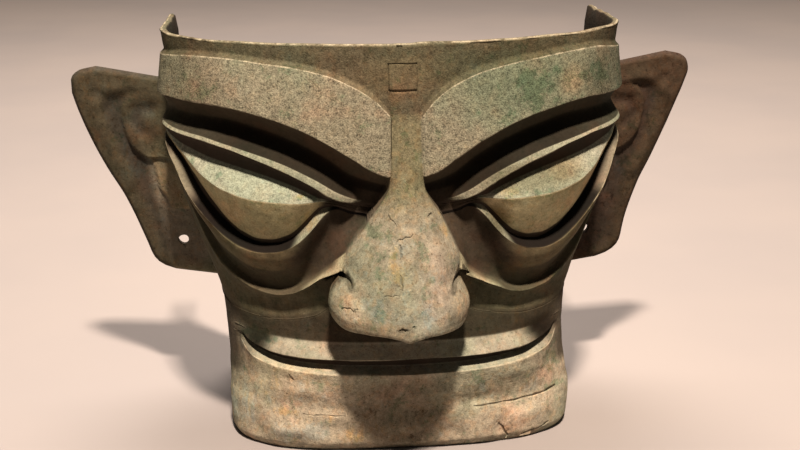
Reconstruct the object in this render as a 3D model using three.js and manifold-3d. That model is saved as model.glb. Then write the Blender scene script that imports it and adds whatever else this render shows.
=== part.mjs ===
// A cast bronze mask: a broad face bent to a U in plan, open at the back, the top and the bottom.
// It has raised brows, hollow eye sockets with jutting eyeballs, a wide nose, a long thin mouth and tall ears.
// Millimetres, +Z up. The face looks along -Y and the mask stands on its lower edge, at Z = 0.
// The origin is below the middle of the box that holds the mask.
import * as THREE from 'three';
import { mergeVertices } from 'three/addons/utils/BufferGeometryUtils.js';
import Module from 'manifold-3d';

// Driving dimensions
const HEIGHT = 255;
const BACK = 142;
const NOSE_PROUD = 43;
const WALL = 4;
const THINNEST_WALL = 2.6;
const RIM_RISE = 1.5;
const EAR_PLANE = 118;
const EAR_THICKNESS = 5;
const EAR_LEAN = 0.08;
const HOLE_DIAMETER = 7;
const ORIGIN_Y = (BACK - NOSE_PROUD) / 2;

// The plan is followed by a number called turn: 0 at the middle of the face, NOSE_TURN at the edge of the
// nose, 1 where the curved front has become the straight side wall, and 2 at the back edge of that wall.
const NOSE_TURN = 0.2;
const FOOT_TURN = 0.215;

// A smooth curve through a few [place, value] points, level before the first and after the last.
function curve(...points) {
  const last = points.length - 1;
  const chord = (i) => (points[i + 1][1] - points[i][1]) / (points[i + 1][0] - points[i][0]);
  const slope = (i) => {
    if (i === 0 || i === last) return chord(Math.min(i, last - 1));
    const before = chord(i - 1);
    const after = chord(i);
    return before * after <= 0 ? 0 : (2 * before * after) / (before + after);
  };
  return (place) => {
    if (place <= points[0][0]) return points[0][1];
    if (place >= points[last][0]) return points[last][1];
    const i = points.findIndex((point) => point[0] > place) - 1;
    const width = points[i + 1][0] - points[i][0];
    const t = (place - points[i][0]) / width;
    const rest = 1 - t;
    return rest * rest * ((1 + 2 * t) * points[i][1] + t * width * slope(i))
      + t * t * ((3 - 2 * t) * points[i + 1][1] - rest * width * slope(i + 1));
  };
}

const mix = (a, b, t) => a + (b - a) * t;

// The plain wall under the carving, by height: half its width, how deep its curved front is, and how square.
const halfWidth = curve([0, 111], [40, 111], [90, 113], [130, 125], [170, 138.5], [200, 142.5],
  [240, 141.5], [HEIGHT, 143.5]);
const frontDepth = curve([0, 56], [HEIGHT, 82]);
const squareness = curve([0, 2.9], [90, 2.6], [200, 2.1], [HEIGHT, 2]);
const PLAN_STEPS = 60;

// One quarter of the plan at a height: points along a squared-off ellipse, with the length run so far.
function quarterPlan(z) {
  const power = 2 / squareness(z);
  const points = [];
  for (let i = 0; i <= PLAN_STEPS; i += 1) {
    const angle = (i / PLAN_STEPS) * (Math.PI / 2);
    const x = halfWidth(z) * Math.sin(angle) ** power;
    const y = frontDepth(z) * (1 - Math.cos(angle) ** power);
    const before = points[i - 1];
    points.push({ x, y, run: before ? before.run + Math.hypot(x - before.x, y - before.y) : 0 });
  }
  return points;
}

// The point at a given value of one key along the quarter.
function along(quarter, key, value) {
  const i = Math.max(1, quarter.findIndex((point) => point[key] >= value));
  const [a, b] = [quarter[i - 1], quarter[i]];
  const t = (value - a[key]) / (b[key] - a[key]);
  const outward = new THREE.Vector2(b.y - a.y, a.x - b.x).normalize();
  return { x: mix(a.x, b.x, t), y: mix(a.y, b.y, t), run: mix(a.run, b.run, t), outward };
}

// Half the width of the nose, by height. Above the nose it is half the gap between the brows.
const noseHalf = curve([0, 36], [85, 36], [97, 40], [108, 43], [122, 37.5], [136, 31.5], [152, 22],
  [165, 13.5], [177, 9], [190, 7.5], [212, 8]);

// A point of the wall at a turn, a height and a relief outward.
function wallPoint(turn, z, relief) {
  const quarter = quarterPlan(z);
  const length = quarter[PLAN_STEPS].run;
  const sign = turn < 0 ? -1 : 1;
  const t = Math.abs(turn);
  if (t >= 1) {
    return new THREE.Vector3(sign * (halfWidth(z) + relief), mix(frontDepth(z), BACK, t - 1), z);
  }
  const nose = along(quarter, 'x', noseHalf(z)).run;
  const run = t < NOSE_TURN ? (nose * t) / NOSE_TURN : mix(nose, length, (t - NOSE_TURN) / (1 - NOSE_TURN));
  const point = along(quarter, 'run', run);
  const { outward } = point;
  return new THREE.Vector3(sign * (point.x + outward.x * relief), point.y + outward.y * relief, z);
}

// The nose: how far its ridge and its side edges stand out, by height.
const ridge = curve([88, NOSE_PROUD], [102, 41.5], [120, 36], [140, 27.5], [160, 17.5], [176, 10.5],
  [190, 6], [203, 2.5], [215, 0.5], [228, 0]);
const noseEdge = curve([88, 14], [97, 13], [108, 16], [116, 13], [121, 8.5], [130, 9.5], [150, 9.5],
  [165, 8], [177, 6], [195, 3.5], [210, 1], [225, 0]);
const noseRelief = (t, z) => mix(noseEdge(z), ridge(z), (1 - t ** 2.2) ** 0.9);

// The carved lines, from the rim down. Each has a name, its height by turn and its relief by turn.
const LEVEL = curve([0, 0], [2, 0]);
const lines = [
  { name: 'rim', z: curve([0, HEIGHT], [2, HEIGHT]), relief: LEVEL },
  { name: 'above brow',
    z: curve([0.2, 214], [0.24, 225], [0.3, 233.5], [0.38, 240.5], [0.5, 245], [0.7, 248], [1, 242],
      [2, 238]),
    relief: LEVEL },
  { name: 'brow top',
    z: curve([0.2, 212], [0.24, 222], [0.3, 231], [0.38, 238], [0.5, 242.5], [0.7, 245.5], [1, 239.5],
      [2, 234]),
    relief: curve([0.215, 3], [0.3, 3.5], [0.7, 3.5], [1, 2.5], [1.3, 2.5], [1.35, 0]) },
  { name: 'brow arris',
    z: curve([0.2, 178], [0.24, 181], [0.3, 189.5], [0.37, 199], [0.46, 208], [0.57, 214.5], [0.7, 218],
      [1, 216], [2, 208]),
    relief: curve([0.215, 7], [0.4, 9], [0.7, 8], [1, 4], [1.3, 3.5], [1.35, 0]) },
  { name: 'brow underside',
    z: curve([0.2, 177], [0.24, 179.5], [0.3, 187.5], [0.37, 197], [0.46, 206], [0.57, 212.5], [0.7, 216],
      [1, 214], [2, 206]),
    relief: curve([0.215, 1], [0.4, 0], [0.7, 1], [1, 1.5], [1.3, 1], [1.35, 0]) },
  { name: 'upper cove',
    z: curve([0.2, 171], [0.3, 177], [0.37, 188], [0.46, 196], [0.57, 202.5], [0.7, 208], [1, 208],
      [2, 198]),
    relief: curve([0.215, -6], [0.3, -9], [0.5, -9], [0.7, -7], [0.9, -4], [1.1, -1], [1.3, 0]) },
  { name: 'upper lid top',
    z: curve([0.2, 164], [0.3, 163.8], [0.37, 173], [0.45, 181], [0.55, 188], [0.65, 195], [0.75, 199],
      [1, 201], [2, 190]),
    relief: curve([0.215, -6], [0.27, -4], [0.3, 1], [0.4, 3.5], [0.6, 4], [0.8, 3], [1, 1], [1.2, 0]) },
  { name: 'upper lid arris',
    z: curve([0.2, 162.3], [0.3, 162.8], [0.35, 165], [0.45, 176], [0.55, 184.5], [0.65, 190.5],
      [0.75, 195], [1, 198], [2, 184]),
    relief: curve([0.215, -6], [0.27, -4], [0.32, 2], [0.4, 7], [0.6, 8], [0.8, 6], [0.93, 3], [1, 0]) },
  { name: 'groove under lid',
    z: curve([0.2, 160.7], [0.32, 162.2], [0.37, 166], [0.45, 174.5], [0.55, 183], [0.65, 189],
      [0.75, 193.5], [1, 196], [2, 178]),
    relief: curve([0.215, -6], [0.27, -4.5], [0.3, -1.5], [0.37, -1.5], [0.8, -1], [0.95, 0]) },
  { name: 'eyeball top',
    z: curve([0.2, 159], [0.33, 161.4], [0.4, 164.7], [0.48, 173], [0.56, 178.5], [0.64, 182],
      [0.73, 185.5], [0.8, 189], [1, 194], [2, 172]),
    relief: curve([0.215, -6], [0.27, -4.5], [0.3, -1.5], [0.37, -1.5], [0.4, 0.5], [0.6, 1.5], [0.8, 0]) },
  { name: 'eyeball ridge',
    z: curve([0.2, 157.2], [0.33, 160.6], [0.4, 162.5], [0.48, 163.5], [0.57, 165], [0.65, 169.5],
      [0.72, 176], [0.78, 184], [0.85, 189], [1, 192.5], [2, 164]),
    relief: curve([0.215, -6], [0.27, -4.5], [0.3, -1.5], [0.37, -1.5], [0.4, 2.5], [0.46, 9], [0.55, 13],
      [0.65, 12.5], [0.73, 8], [0.8, 2], [0.9, 0]) },
  { name: 'eyeball foot',
    z: curve([0.2, 155.6], [0.33, 159.8], [0.375, 156], [0.4, 150], [0.43, 142], [0.48, 137.5], [0.57, 138],
      [0.65, 144], [0.72, 154], [0.78, 167], [0.83, 179], [0.9, 188], [1, 191.5], [2, 150]),
    relief: curve([0.215, -6], [0.27, -4.5], [0.3, -1.5], [0.37, -2], [0.4, -1], [0.5, 2], [0.65, 1.5],
      [0.8, -0.5], [0.95, 0]) },
  { name: 'groove over lower lid',
    z: curve([0.2, 154], [0.33, 159.1], [0.36, 155.5], [0.385, 149], [0.415, 140], [0.455, 134.5],
      [0.52, 132.5], [0.6, 135], [0.68, 142.5], [0.75, 153.5], [0.8, 165], [0.85, 179], [0.91, 188],
      [1, 191], [2, 145]),
    relief: curve([0.215, -6], [0.27, -4.5], [0.3, -1.5], [0.35, -2], [0.8, -2], [0.95, 0]) },
  { name: 'lower lid rim',
    z: curve([0.2, 152.5], [0.33, 158.4], [0.355, 155], [0.375, 149], [0.4, 140], [0.44, 133], [0.505, 130],
      [0.585, 132.5], [0.67, 140], [0.745, 151], [0.8, 163], [0.85, 177], [0.91, 187], [1, 190.5],
      [2, 143]),
    relief: curve([0.215, -6], [0.27, -4.5], [0.3, -1], [0.34, 3], [0.4, 7], [0.5, 8], [0.75, 8], [0.88, 5],
      [0.95, 1.5], [1, 0]) },
  { name: 'socket foot',
    z: curve([0.2, 132], [0.25, 121.5], [0.3, 113], [0.39, 105.5], [0.46, 104], [0.56, 106], [0.64, 111.5],
      [0.72, 121], [0.78, 136], [0.82, 152], [0.86, 172], [0.91, 183], [1, 188], [2, 125]),
    relief: curve([0.215, -5], [0.3, -5], [0.5, -4], [0.7, -3], [0.87, -1.5], [0.97, 0]) },
  { name: 'cheek crest',
    z: curve([0.2, 127], [0.25, 119], [0.3, 111], [0.39, 103.5], [0.46, 102], [0.56, 104], [0.645, 109.5],
      [0.73, 119], [0.79, 133.5], [0.83, 149.5], [0.87, 169], [0.92, 181], [1, 186], [2, 122]),
    relief: curve([0.215, 9], [0.27, 5.5], [0.35, 3.5], [0.5, 2.5], [0.8, 2], [0.92, 1], [1, 0]) },
  { name: 'hook over nostril wing',
    z: curve([0, 117], [0.2, 121.5], [0.25, 115], [0.3, 108.5], [0.39, 101], [0.46, 99.5], [0.6, 102],
      [0.72, 110], [0.8, 122], [0.9, 150], [1, 160], [2, 112]),
    relief: curve([0.215, -3], [0.25, -4], [0.35, -1.5], [0.5, 0]) },
  { name: 'cheek',
    z: curve([0, 101], [0.2, 109], [0.3, 100], [0.45, 93], [0.7, 98], [0.85, 110], [1, 118], [2, 100]),
    relief: curve([0.215, -3], [0.3, -3], [0.6, -2], [0.85, 0]) },
  { name: 'nose lip',
    z: curve([0, 88], [0.07, 90], [0.14, 93.5], [0.2, 98], [0.3, 91], [0.5, 86], [0.75, 88], [1, 94],
      [2, 90]),
    relief: curve([0.215, -3], [0.4, -3.5], [0.7, -3], [0.85, 0]) },
  { name: 'nose underside',
    z: curve([0, 86.6], [0.07, 88.5], [0.14, 91.6], [0.2, 95.5], [0.3, 89], [0.5, 84], [0.75, 86], [1, 91],
      [2, 87]),
    relief: curve([0, 0], [0.2, -2], [0.4, -3.5], [0.7, -3], [0.85, 0]) },
  { name: 'upper lip top',
    z: curve([0, 73], [0.3, 74.5], [0.6, 76.5], [0.72, 78], [1, 76], [2, 76]),
    relief: curve([0, -1.5], [0.6, -1.5], [0.72, -1], [0.85, 0]) },
  { name: 'upper lip arris',
    z: curve([0, 61], [0.25, 62], [0.42, 64], [0.55, 66.5], [0.65, 70], [0.7, 73], [1, 66], [2, 64]),
    relief: curve([0, 6], [0.5, 6], [0.65, 4], [0.71, 1], [0.8, 0]) },
  { name: 'slit top',
    z: curve([0, 60], [0.25, 60.8], [0.42, 62.7], [0.55, 65], [0.65, 68.5], [0.7, 72.2], [1, 64], [2, 60]),
    relief: curve([0, -2.5], [0.6, -2.5], [0.68, -1.5], [0.71, 0]) },
  { name: 'slit foot',
    z: curve([0, 54.5], [0.25, 56], [0.4, 58], [0.5, 60], [0.6, 63.8], [0.66, 68], [0.7, 71.4], [1, 60],
      [2, 54]),
    relief: curve([0, -1.5], [0.6, -1.5], [0.68, -1], [0.71, 0]) },
  { name: 'lower lip arris',
    z: curve([0, 52], [0.25, 53.5], [0.4, 55.5], [0.5, 57.5], [0.6, 61.5], [0.66, 65.5], [0.7, 69], [1, 56],
      [2, 50]),
    relief: curve([0, 5.5], [0.6, 5], [0.68, 2.5], [0.73, 0]) },
  { name: 'lower lip foot',
    z: curve([0, 44], [0.4, 47.5], [0.6, 52], [0.7, 57], [1, 48], [2, 44]),
    relief: curve([0, 3.5], [0.6, 3], [0.73, 0.5], [0.85, 0]) },
  { name: 'chin hollow', z: curve([0, 32], [0.5, 38], [0.7, 41], [1, 38], [2, 35]), relief: LEVEL },
  { name: 'above chin band', z: curve([0, 23.5], [0.3, 27.5], [0.5, 30], [0.7, 33], [1, 30], [2, 26]),
    relief: curve([0, 0.5], [0.7, 0.5], [1, 0]) },
  { name: 'chin band top', z: curve([0, 22], [0.3, 26], [0.5, 28.5], [0.7, 31.5], [1, 28], [2, 24]),
    relief: curve([0, 2.5], [0.7, 2.5], [0.95, 1], [1.2, 0]) },
  { name: 'chin edge', z: curve([0, 5], [2, 5]), relief: curve([0, 2], [0.7, 2], [0.95, 0.5], [1.2, 0]) },
  { name: 'base', z: curve([0, 0], [2, 0]), relief: curve([0, -2.5], [0.9, -2.5], [1.2, -1], [1.6, 0]) },
];

// Rows between two carved lines: below which line, at what share of the way down, and how far they bulge out.
const BETWEEN = [
  ['brow top', 0.5, 0.6],
  ['brow underside', 0.5, -2],
  ['upper cove', 0.5, -1.5],
  ['eyeball top', 0.5, 0.8],
  ['eyeball ridge', 0.5, 1.2],
  ['lower lid rim', 0.25, 2],
  ['lower lid rim', 0.55, 0],
  ['lower lid rim', 0.82, -1.5],
  ['hook over nostril wing', 0.5, 0],
  ['upper lip top', 0.5, 0.5],
  ['chin band top', 0.5, 0.8],
];
const NOSE_TOP = lines.findIndex((line) => line.name === 'above brow');
const NOSE_BOTTOM = lines.findIndex((line) => line.name === 'nose lip');

// Every row of the outer surface, from the rim down: its height and relief at a turn.
function allRows() {
  return lines.flatMap((line, number) => {
    const onNose = number >= NOSE_TOP && number <= NOSE_BOTTOM;
    const next = lines[number + 1];
    const fade = (turn) => (turn < 1 ? 1 - turn ** 4 : 0);
    const between = BETWEEN.filter(([name]) => name === line.name).map(([, share, bulge]) => ({
      onNose,
      z: (turn) => mix(line.z(turn), next.z(turn), share),
      relief: (turn) => mix(line.relief(turn), next.relief(turn), share) + bulge * fade(turn),
    }));
    return [{ onNose, z: line.z, relief: line.relief }, ...between];
  });
}

// The relief of a row at a turn, where the nose takes the place of the carved lines.
function reliefAt(row, turn, z) {
  return row.onNose && turn <= NOSE_TURN ? noseRelief(turn / NOSE_TURN, z) : row.relief(turn);
}

// Turns from the middle to the back edge, closer together where the carving is finer: [from, to, steps].
const OUTER_SPANS = [[0, NOSE_TURN, 6], [NOSE_TURN, FOOT_TURN, 1], [FOOT_TURN, 0.33, 4], [0.33, 0.43, 4],
  [0.43, 0.71, 6], [0.71, 0.93, 7], [0.93, 1, 1], [1, 1.3, 2], [1.3, 1.35, 1], [1.35, 2, 2]];
const INNER_SPANS = [[0, NOSE_TURN, 3], [NOSE_TURN, 1, 11], [1, 2, 2]];

function turnsOf(spans) {
  const half = [0];
  for (const [from, to, steps] of spans) {
    for (let i = 1; i <= steps; i += 1) half.push(mix(from, to, i / steps));
  }
  return [...half.slice(1).reverse().map((turn) => -turn), ...half];
}

// A closed solid from a grid of points, rows from the top down and columns from -X to +X: the grid itself,
// a flat back between its first and last columns, and a top and a bottom fanned out from their middles.
function closedGrid(grid) {
  const width = grid[0].length;
  const points = grid.flat();
  const triangles = [];
  const quad = (a, b, c, d) => triangles.push([a, b, c], [a, c, d]);
  for (let row = 0; row + 1 < grid.length; row += 1) {
    for (let column = 0; column + 1 < width; column += 1) {
      const corner = row * width + column;
      quad(corner, corner + width, corner + width + 1, corner + 1);
    }
    const end = row * width + width - 1;
    quad(end, end + width, (row + 1) * width, row * width);
  }
  for (const [row, downward] of [[0, false], [grid.length - 1, true]]) {
    const middle = new THREE.Vector3();
    middle.addVectors(grid[row][0], grid[row][width - 1]).add(grid[row][(width - 1) / 2]).divideScalar(3);
    const hub = points.push(middle) - 1;
    for (let column = 0; column < width; column += 1) {
      const a = row * width + column;
      const b = row * width + ((column + 1) % width);
      triangles.push(downward ? [hub, b, a] : [hub, a, b]);
    }
  }
  return geometryOf(points, triangles);
}

function geometryOf(points, triangles) {
  const geometry = new THREE.BufferGeometry().setFromPoints(points);
  geometry.setIndex(triangles.flat());
  return geometry;
}

// The face and the side walls as a full body, and what is inside them.
const outerRows = allRows();
const outerTurns = turnsOf(OUTER_SPANS);

function outerBody() {
  const grid = outerRows.map((row) => outerTurns.map((turn) => {
    const z = row.z(Math.abs(turn));
    const point = wallPoint(turn, z, reliefAt(row, Math.abs(turn), z));
    if (row === outerRows[0]) point.z += (RIM_RISE * point.x) / halfWidth(HEIGHT);
    return point;
  }));
  return closedGrid(grid);
}

// The inside follows the carving loosely: a wall behind its mean height, and never too close to its lows.
const MEAN_REACH = 13;
const LOW_REACH = 12;
const INNER_ROWS = 22;
const OVERSHOOT = 6;

function insideBody() {
  const samples = outerRows.flatMap((row) => outerTurns.filter((turn) => turn >= 0).map((turn) => {
    const z = row.z(turn);
    const place = wallPoint(turn, z, 0);
    return { place, relief: reliefAt(row, turn, z) };
  }));
  const insideRelief = (turn, z) => {
    const here = wallPoint(Math.abs(turn), z, 0);
    const near = (reach) => samples.filter((sample) => sample.place.distanceTo(here) < reach);
    const around = near(MEAN_REACH).map((sample) => sample.relief);
    const mean = around.reduce((sum, relief) => sum + relief, 0) / Math.max(1, around.length);
    const low = Math.min(mean, ...near(LOW_REACH).map((sample) => sample.relief));
    return Math.min(mean - WALL, low - THINNEST_WALL);
  };
  const grid = [];
  for (let i = 0; i <= INNER_ROWS; i += 1) {
    const z = mix(HEIGHT + OVERSHOOT, -OVERSHOOT, i / INNER_ROWS);
    const level = THREE.MathUtils.clamp(z, 0, HEIGHT);
    grid.push(turnsOf(INNER_SPANS).map((turn) => {
      const point = wallPoint(turn, level, insideRelief(turn, level));
      if (Math.abs(turn) === 2) point.y += OVERSHOOT;
      point.z = z;
      return point;
    }));
  }
  return closedGrid(grid);
}

// One ear: a plate in the plane of the face, from its root on the side wall to its outer edge.
// Share runs up the ear, 0 at its lower edge and 1 at its upper edge.
const earRootZ = curve([0, 76], [1, 214]);
const earEdgeX = curve([0, 148], [0.04, 157], [0.12, 164], [0.37, 175], [0.62, 190], [0.85, 204],
  [0.91, 207.5], [0.95, 208], [0.98, 204], [1, 195]);
const earEdgeZ = curve([0, 80], [0.04, 86], [0.12, 97], [0.37, 131], [0.62, 169], [0.85, 203], [0.91, 212],
  [0.95, 218], [0.98, 223], [1, 225]);
// Outer limit of the raised inner lobe and of the stepped tab below it, by height.
const lobeLimit = curve([126, 139], [128, 149], [138, 150], [142, 156], [158, 157], [161, 162], [168, 170],
  [181, 173.5], [194, 171], [204, 160], [209, 148]);
const EAR_RIM_WIDTH = 14;
const EAR_CARVING = 3.5;
const EAR_ROWS = 20;

function earGrid(side, face) {
  const grid = [];
  for (let i = 0; i <= EAR_ROWS; i += 1) {
    const share = (1 + Math.cos((Math.PI * i) / EAR_ROWS)) / 2;
    const root = new THREE.Vector2(halfWidth(earRootZ(share)) - WALL / 2, earRootZ(share));
    const edge = new THREE.Vector2(earEdgeX(share), earEdgeZ(share));
    const level = mix(root.y, edge.y, 0.4);
    const lobe = Math.max(root.x + 4, Math.min(lobeLimit(level), edge.x - EAR_RIM_WIDTH - 6));
    const rim = edge.x - EAR_RIM_WIDTH * Math.min(1, 0.5 + share);
    const raised = level > 126 && level < 209 ? EAR_CARVING : 0.5;
    const border = share > 0.06 && share < 0.97 ? 0 : EAR_CARVING;
    const inner = [[root.x, raised], [mix(root.x, lobe, 0.5), raised * 0.8], [lobe - 1, raised]];
    const channel = [[lobe + 1, border], [rim - 1.5, border]];
    const outer = [[rim + 1.5, EAR_CARVING * 0.8], [mix(rim, edge.x, 0.6), EAR_CARVING], [edge.x, 0.5]];
    const stations = [...inner, ...channel, ...outer];
    grid.push(stations.map(([x, carving]) => {
      const t = (x - root.x) / (edge.x - root.x);
      const middle = EAR_PLANE + EAR_LEAN * (x - root.x);
      const front = middle - EAR_THICKNESS / 2 - carving;
      const back = middle + EAR_THICKNESS / 2 - carving * 0.6;
      return new THREE.Vector3(side * x, face === 'front' ? front : back, mix(root.y, edge.y, t));
    }));
  }
  return grid;
}

function earBody(side) {
  const front = earGrid(side, 'front');
  const back = earGrid(side, 'back');
  const width = front[0].length;
  const points = [...front.flat(), ...back.flat()];
  const half = front.flat().length;
  const triangles = [];
  const quad = (a, b, c, d) => {
    triangles.push(...(side > 0 ? [[a, b, c], [a, c, d]] : [[c, b, a], [d, c, a]]));
  };
  for (let row = 0; row < EAR_ROWS; row += 1) {
    for (let column = 0; column + 1 < width; column += 1) {
      const corner = row * width + column;
      quad(corner, corner + width, corner + width + 1, corner + 1);
      quad(half + corner, half + corner + 1, half + corner + width + 1, half + corner + width);
    }
    const [root, edge] = [row * width, row * width + width - 1];
    quad(root, half + root, half + root + width, root + width);
    quad(edge, edge + width, half + edge + width, half + edge);
  }
  for (let column = 0; column + 1 < width; column += 1) {
    const foot = EAR_ROWS * width + column;
    quad(column, column + 1, half + column + 1, half + column);
    quad(foot, half + foot, half + foot + 1, foot + 1);
  }
  return geometryOf(points, triangles);
}

// The hole pierced through each ear lobe.
function lobeHole(side) {
  const hole = new THREE.CylinderGeometry(HOLE_DIAMETER / 2, HOLE_DIAMETER / 2, 40, 16);
  return hole.translate(side * 140, EAR_PLANE, 103);
}

// Booleans
const wasm = await Module();
wasm.setup();

function toSolid(geometry) {
  const bare = geometry.clone();
  bare.deleteAttribute('normal');
  bare.deleteAttribute('uv');
  const merged = mergeVertices(bare, 1e-4);
  return new wasm.Manifold(new wasm.Mesh({
    numProp: 3,
    vertProperties: new Float32Array(merged.attributes.position.array),
    triVerts: new Uint32Array(merged.index.array),
  }));
}

function toGeometry(solid) {
  const mesh = solid.getMesh();
  const geometry = new THREE.BufferGeometry();
  geometry.setAttribute('position', new THREE.BufferAttribute(mesh.vertProperties, mesh.numProp));
  geometry.setIndex(new THREE.BufferAttribute(mesh.triVerts, 1));
  geometry.computeVertexNormals();
  return geometry;
}

// The mask
function maskGeometry() {
  let solid = toSolid(outerBody()).subtract(toSolid(insideBody()));
  for (const side of [-1, 1]) {
    solid = solid.add(toSolid(earBody(side)).subtract(toSolid(lobeHole(side))));
  }
  return toGeometry(solid).translate(0, -ORIGIN_Y, 0);
}

const bronze = new THREE.MeshStandardMaterial({
  color: 0x83795f,
  roughness: 0.72,
  metalness: 0.55,
  flatShading: true,
});
const mask = new THREE.Mesh(maskGeometry(), bronze);
mask.name = 'mask';

const model = new THREE.Group();
model.add(mask);

export default model;
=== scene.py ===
"""A cast bronze mask: a broad face bent to a U in plan, open behind, with raised brows, jutting eyeballs,
a wide nose, a long thin mouth and tall ears. The casting replaces the plain solid of the frame.

The form is worked out in millimetres, with the front of the plain wall at y = 0, and moved into the frame at
the end. The plan is followed by a number called turn: 0 at the middle of the face, NOSE_TURN at the edge of
the nose, 1 where the curved front has become the straight side wall, and 2 at the back edge of that wall.
"""
import math

import bpy
import numpy as np
from mathutils import Matrix, kdtree
from mathutils.bvhtree import BVHTree


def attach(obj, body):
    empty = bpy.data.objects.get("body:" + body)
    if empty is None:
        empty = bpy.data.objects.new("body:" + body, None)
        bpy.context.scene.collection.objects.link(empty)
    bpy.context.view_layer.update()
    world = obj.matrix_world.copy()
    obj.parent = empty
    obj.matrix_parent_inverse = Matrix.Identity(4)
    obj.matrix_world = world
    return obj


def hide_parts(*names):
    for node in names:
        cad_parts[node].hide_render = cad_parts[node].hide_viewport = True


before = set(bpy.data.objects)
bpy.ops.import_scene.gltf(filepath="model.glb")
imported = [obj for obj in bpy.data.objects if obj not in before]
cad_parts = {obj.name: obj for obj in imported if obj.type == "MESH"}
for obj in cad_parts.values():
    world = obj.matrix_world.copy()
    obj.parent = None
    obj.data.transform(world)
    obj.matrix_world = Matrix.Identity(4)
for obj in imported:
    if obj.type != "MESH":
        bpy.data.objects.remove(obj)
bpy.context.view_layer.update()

MM = 0.001
HEIGHT = 255
BACK = 142
ORIGIN_Y = 49.5
NOSE_TURN = 0.2
FOOT_TURN = 0.215
WALL = 4.4
THINNEST_WALL = 2.2
RIM_RISE = 1.5


class Curve:
    """A smooth curve through a few points, given as place, value, place, value. It is level beyond both ends."""

    def __init__(self, *numbers):
        self.place, self.value = np.array(numbers, float).reshape(-1, 2).T
        chord = np.diff(self.value) / np.diff(self.place)
        same_way = chord[:-1] * chord[1:] > 0
        total = np.where(same_way, chord[:-1] + chord[1:], 1)
        inner = np.where(same_way, 2 * chord[:-1] * chord[1:] / total, 0)
        self.slope = np.concatenate([chord[:1], inner, chord[-1:]])

    def __call__(self, place):
        place = np.clip(place, self.place[0], self.place[-1])
        i = np.clip(np.searchsorted(self.place, place, side="right") - 1, 0, len(self.place) - 2)
        width = self.place[i + 1] - self.place[i]
        t = (place - self.place[i]) / width
        start = (1 + 2 * t) * self.value[i] + t * width * self.slope[i]
        end = (3 - 2 * t) * self.value[i + 1] - (1 - t) * width * self.slope[i + 1]
        return (1 - t) ** 2 * start + t ** 2 * end


def mix(a, b, t):
    return a + (b - a) * t


def step_up(value, start, end):
    """0 below start, 1 above end, and smooth between them."""
    t = np.clip((value - start) / (end - start), 0, 1)
    return t * t * (3 - 2 * t)


def between(value, start, full, last, end):
    """0 outside start and end, 1 from full to last, and smooth between them."""
    return step_up(value, start, full) * (1 - step_up(value, last, end))


def bump_at(distance, width):
    """1 at distance 0, dying away over a width."""
    return np.exp(-(distance / width) ** 2)


def spot(points, x, z, wide, high, power=1):
    """1 at a place seen from the front, dying away over a half width and a half height. Power makes it flatter."""
    return bump_at(np.hypot((points[..., 0] - x) / wide, (points[..., 2] - z) / high) ** power, 1)


def ripple(points, length, seed):
    """Smooth random waves of about a length, mostly between -1 and 1, the same on each run."""
    chance = np.random.default_rng(seed)
    total = np.zeros(points.shape[:-1])
    for _ in range(12):
        way = chance.normal(size=3)
        way *= 2 * math.pi / (length * chance.uniform(0.7, 1.5) * np.linalg.norm(way))
        total += np.sin(points @ way + chance.uniform(0, 2 * math.pi))
    return total / math.sqrt(12)


def spread(spans):
    """Places from 0 on, closer where the carving is finer. Each span of them is given as (from, to, steps)."""
    return np.concatenate([[0]] + [np.linspace(start, end, steps + 1)[1:] for start, end, steps in spans])


def quads(number):
    """The four-sided faces of a grid of point numbers."""
    return np.stack([number[:-1, :-1], number[1:, :-1], number[1:, 1:], number[:-1, 1:]], axis=-1).reshape(-1, 4)


# ---- the plain wall under the carving ----
HALF_WIDTH = Curve(0, 111, 40, 111, 90, 113, 130, 125, 170, 138.5, 200, 142.5, 240, 141.5, HEIGHT, 143.5)
FRONT_DEPTH = Curve(0, 56, HEIGHT, 82)
SQUARENESS = Curve(0, 2.9, 90, 2.6, 200, 2.1, HEIGHT, 2)
NOSE_HALF = Curve(0, 38, 85, 39, 98, 40.3, 103, 40.6, 108, 40.1, 113, 38.3, 118, 35.6, 122, 33.8, 131, 33.6,
                  137, 31.3, 142.5, 28.2, 149, 24.3, 156, 20, 165, 13.8, 172, 10.5, 180, 9.4, 190, 8.8, 212, 8.5)
PLAN_STEPS = 160
CORNER_STEPS = 2            # rows on each side of a rounded corner


def look_up(table, key, *columns):
    """The values of some columns where each row of a rising table reaches its key."""
    i = np.clip((table < key[:, None]).sum(axis=1), 1, table.shape[1] - 1)
    row = np.arange(len(key))
    t = (key - table[row, i - 1]) / (table[row, i] - table[row, i - 1])
    return [mix(column[row, i - 1], column[row, i], t) for column in columns]


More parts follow.
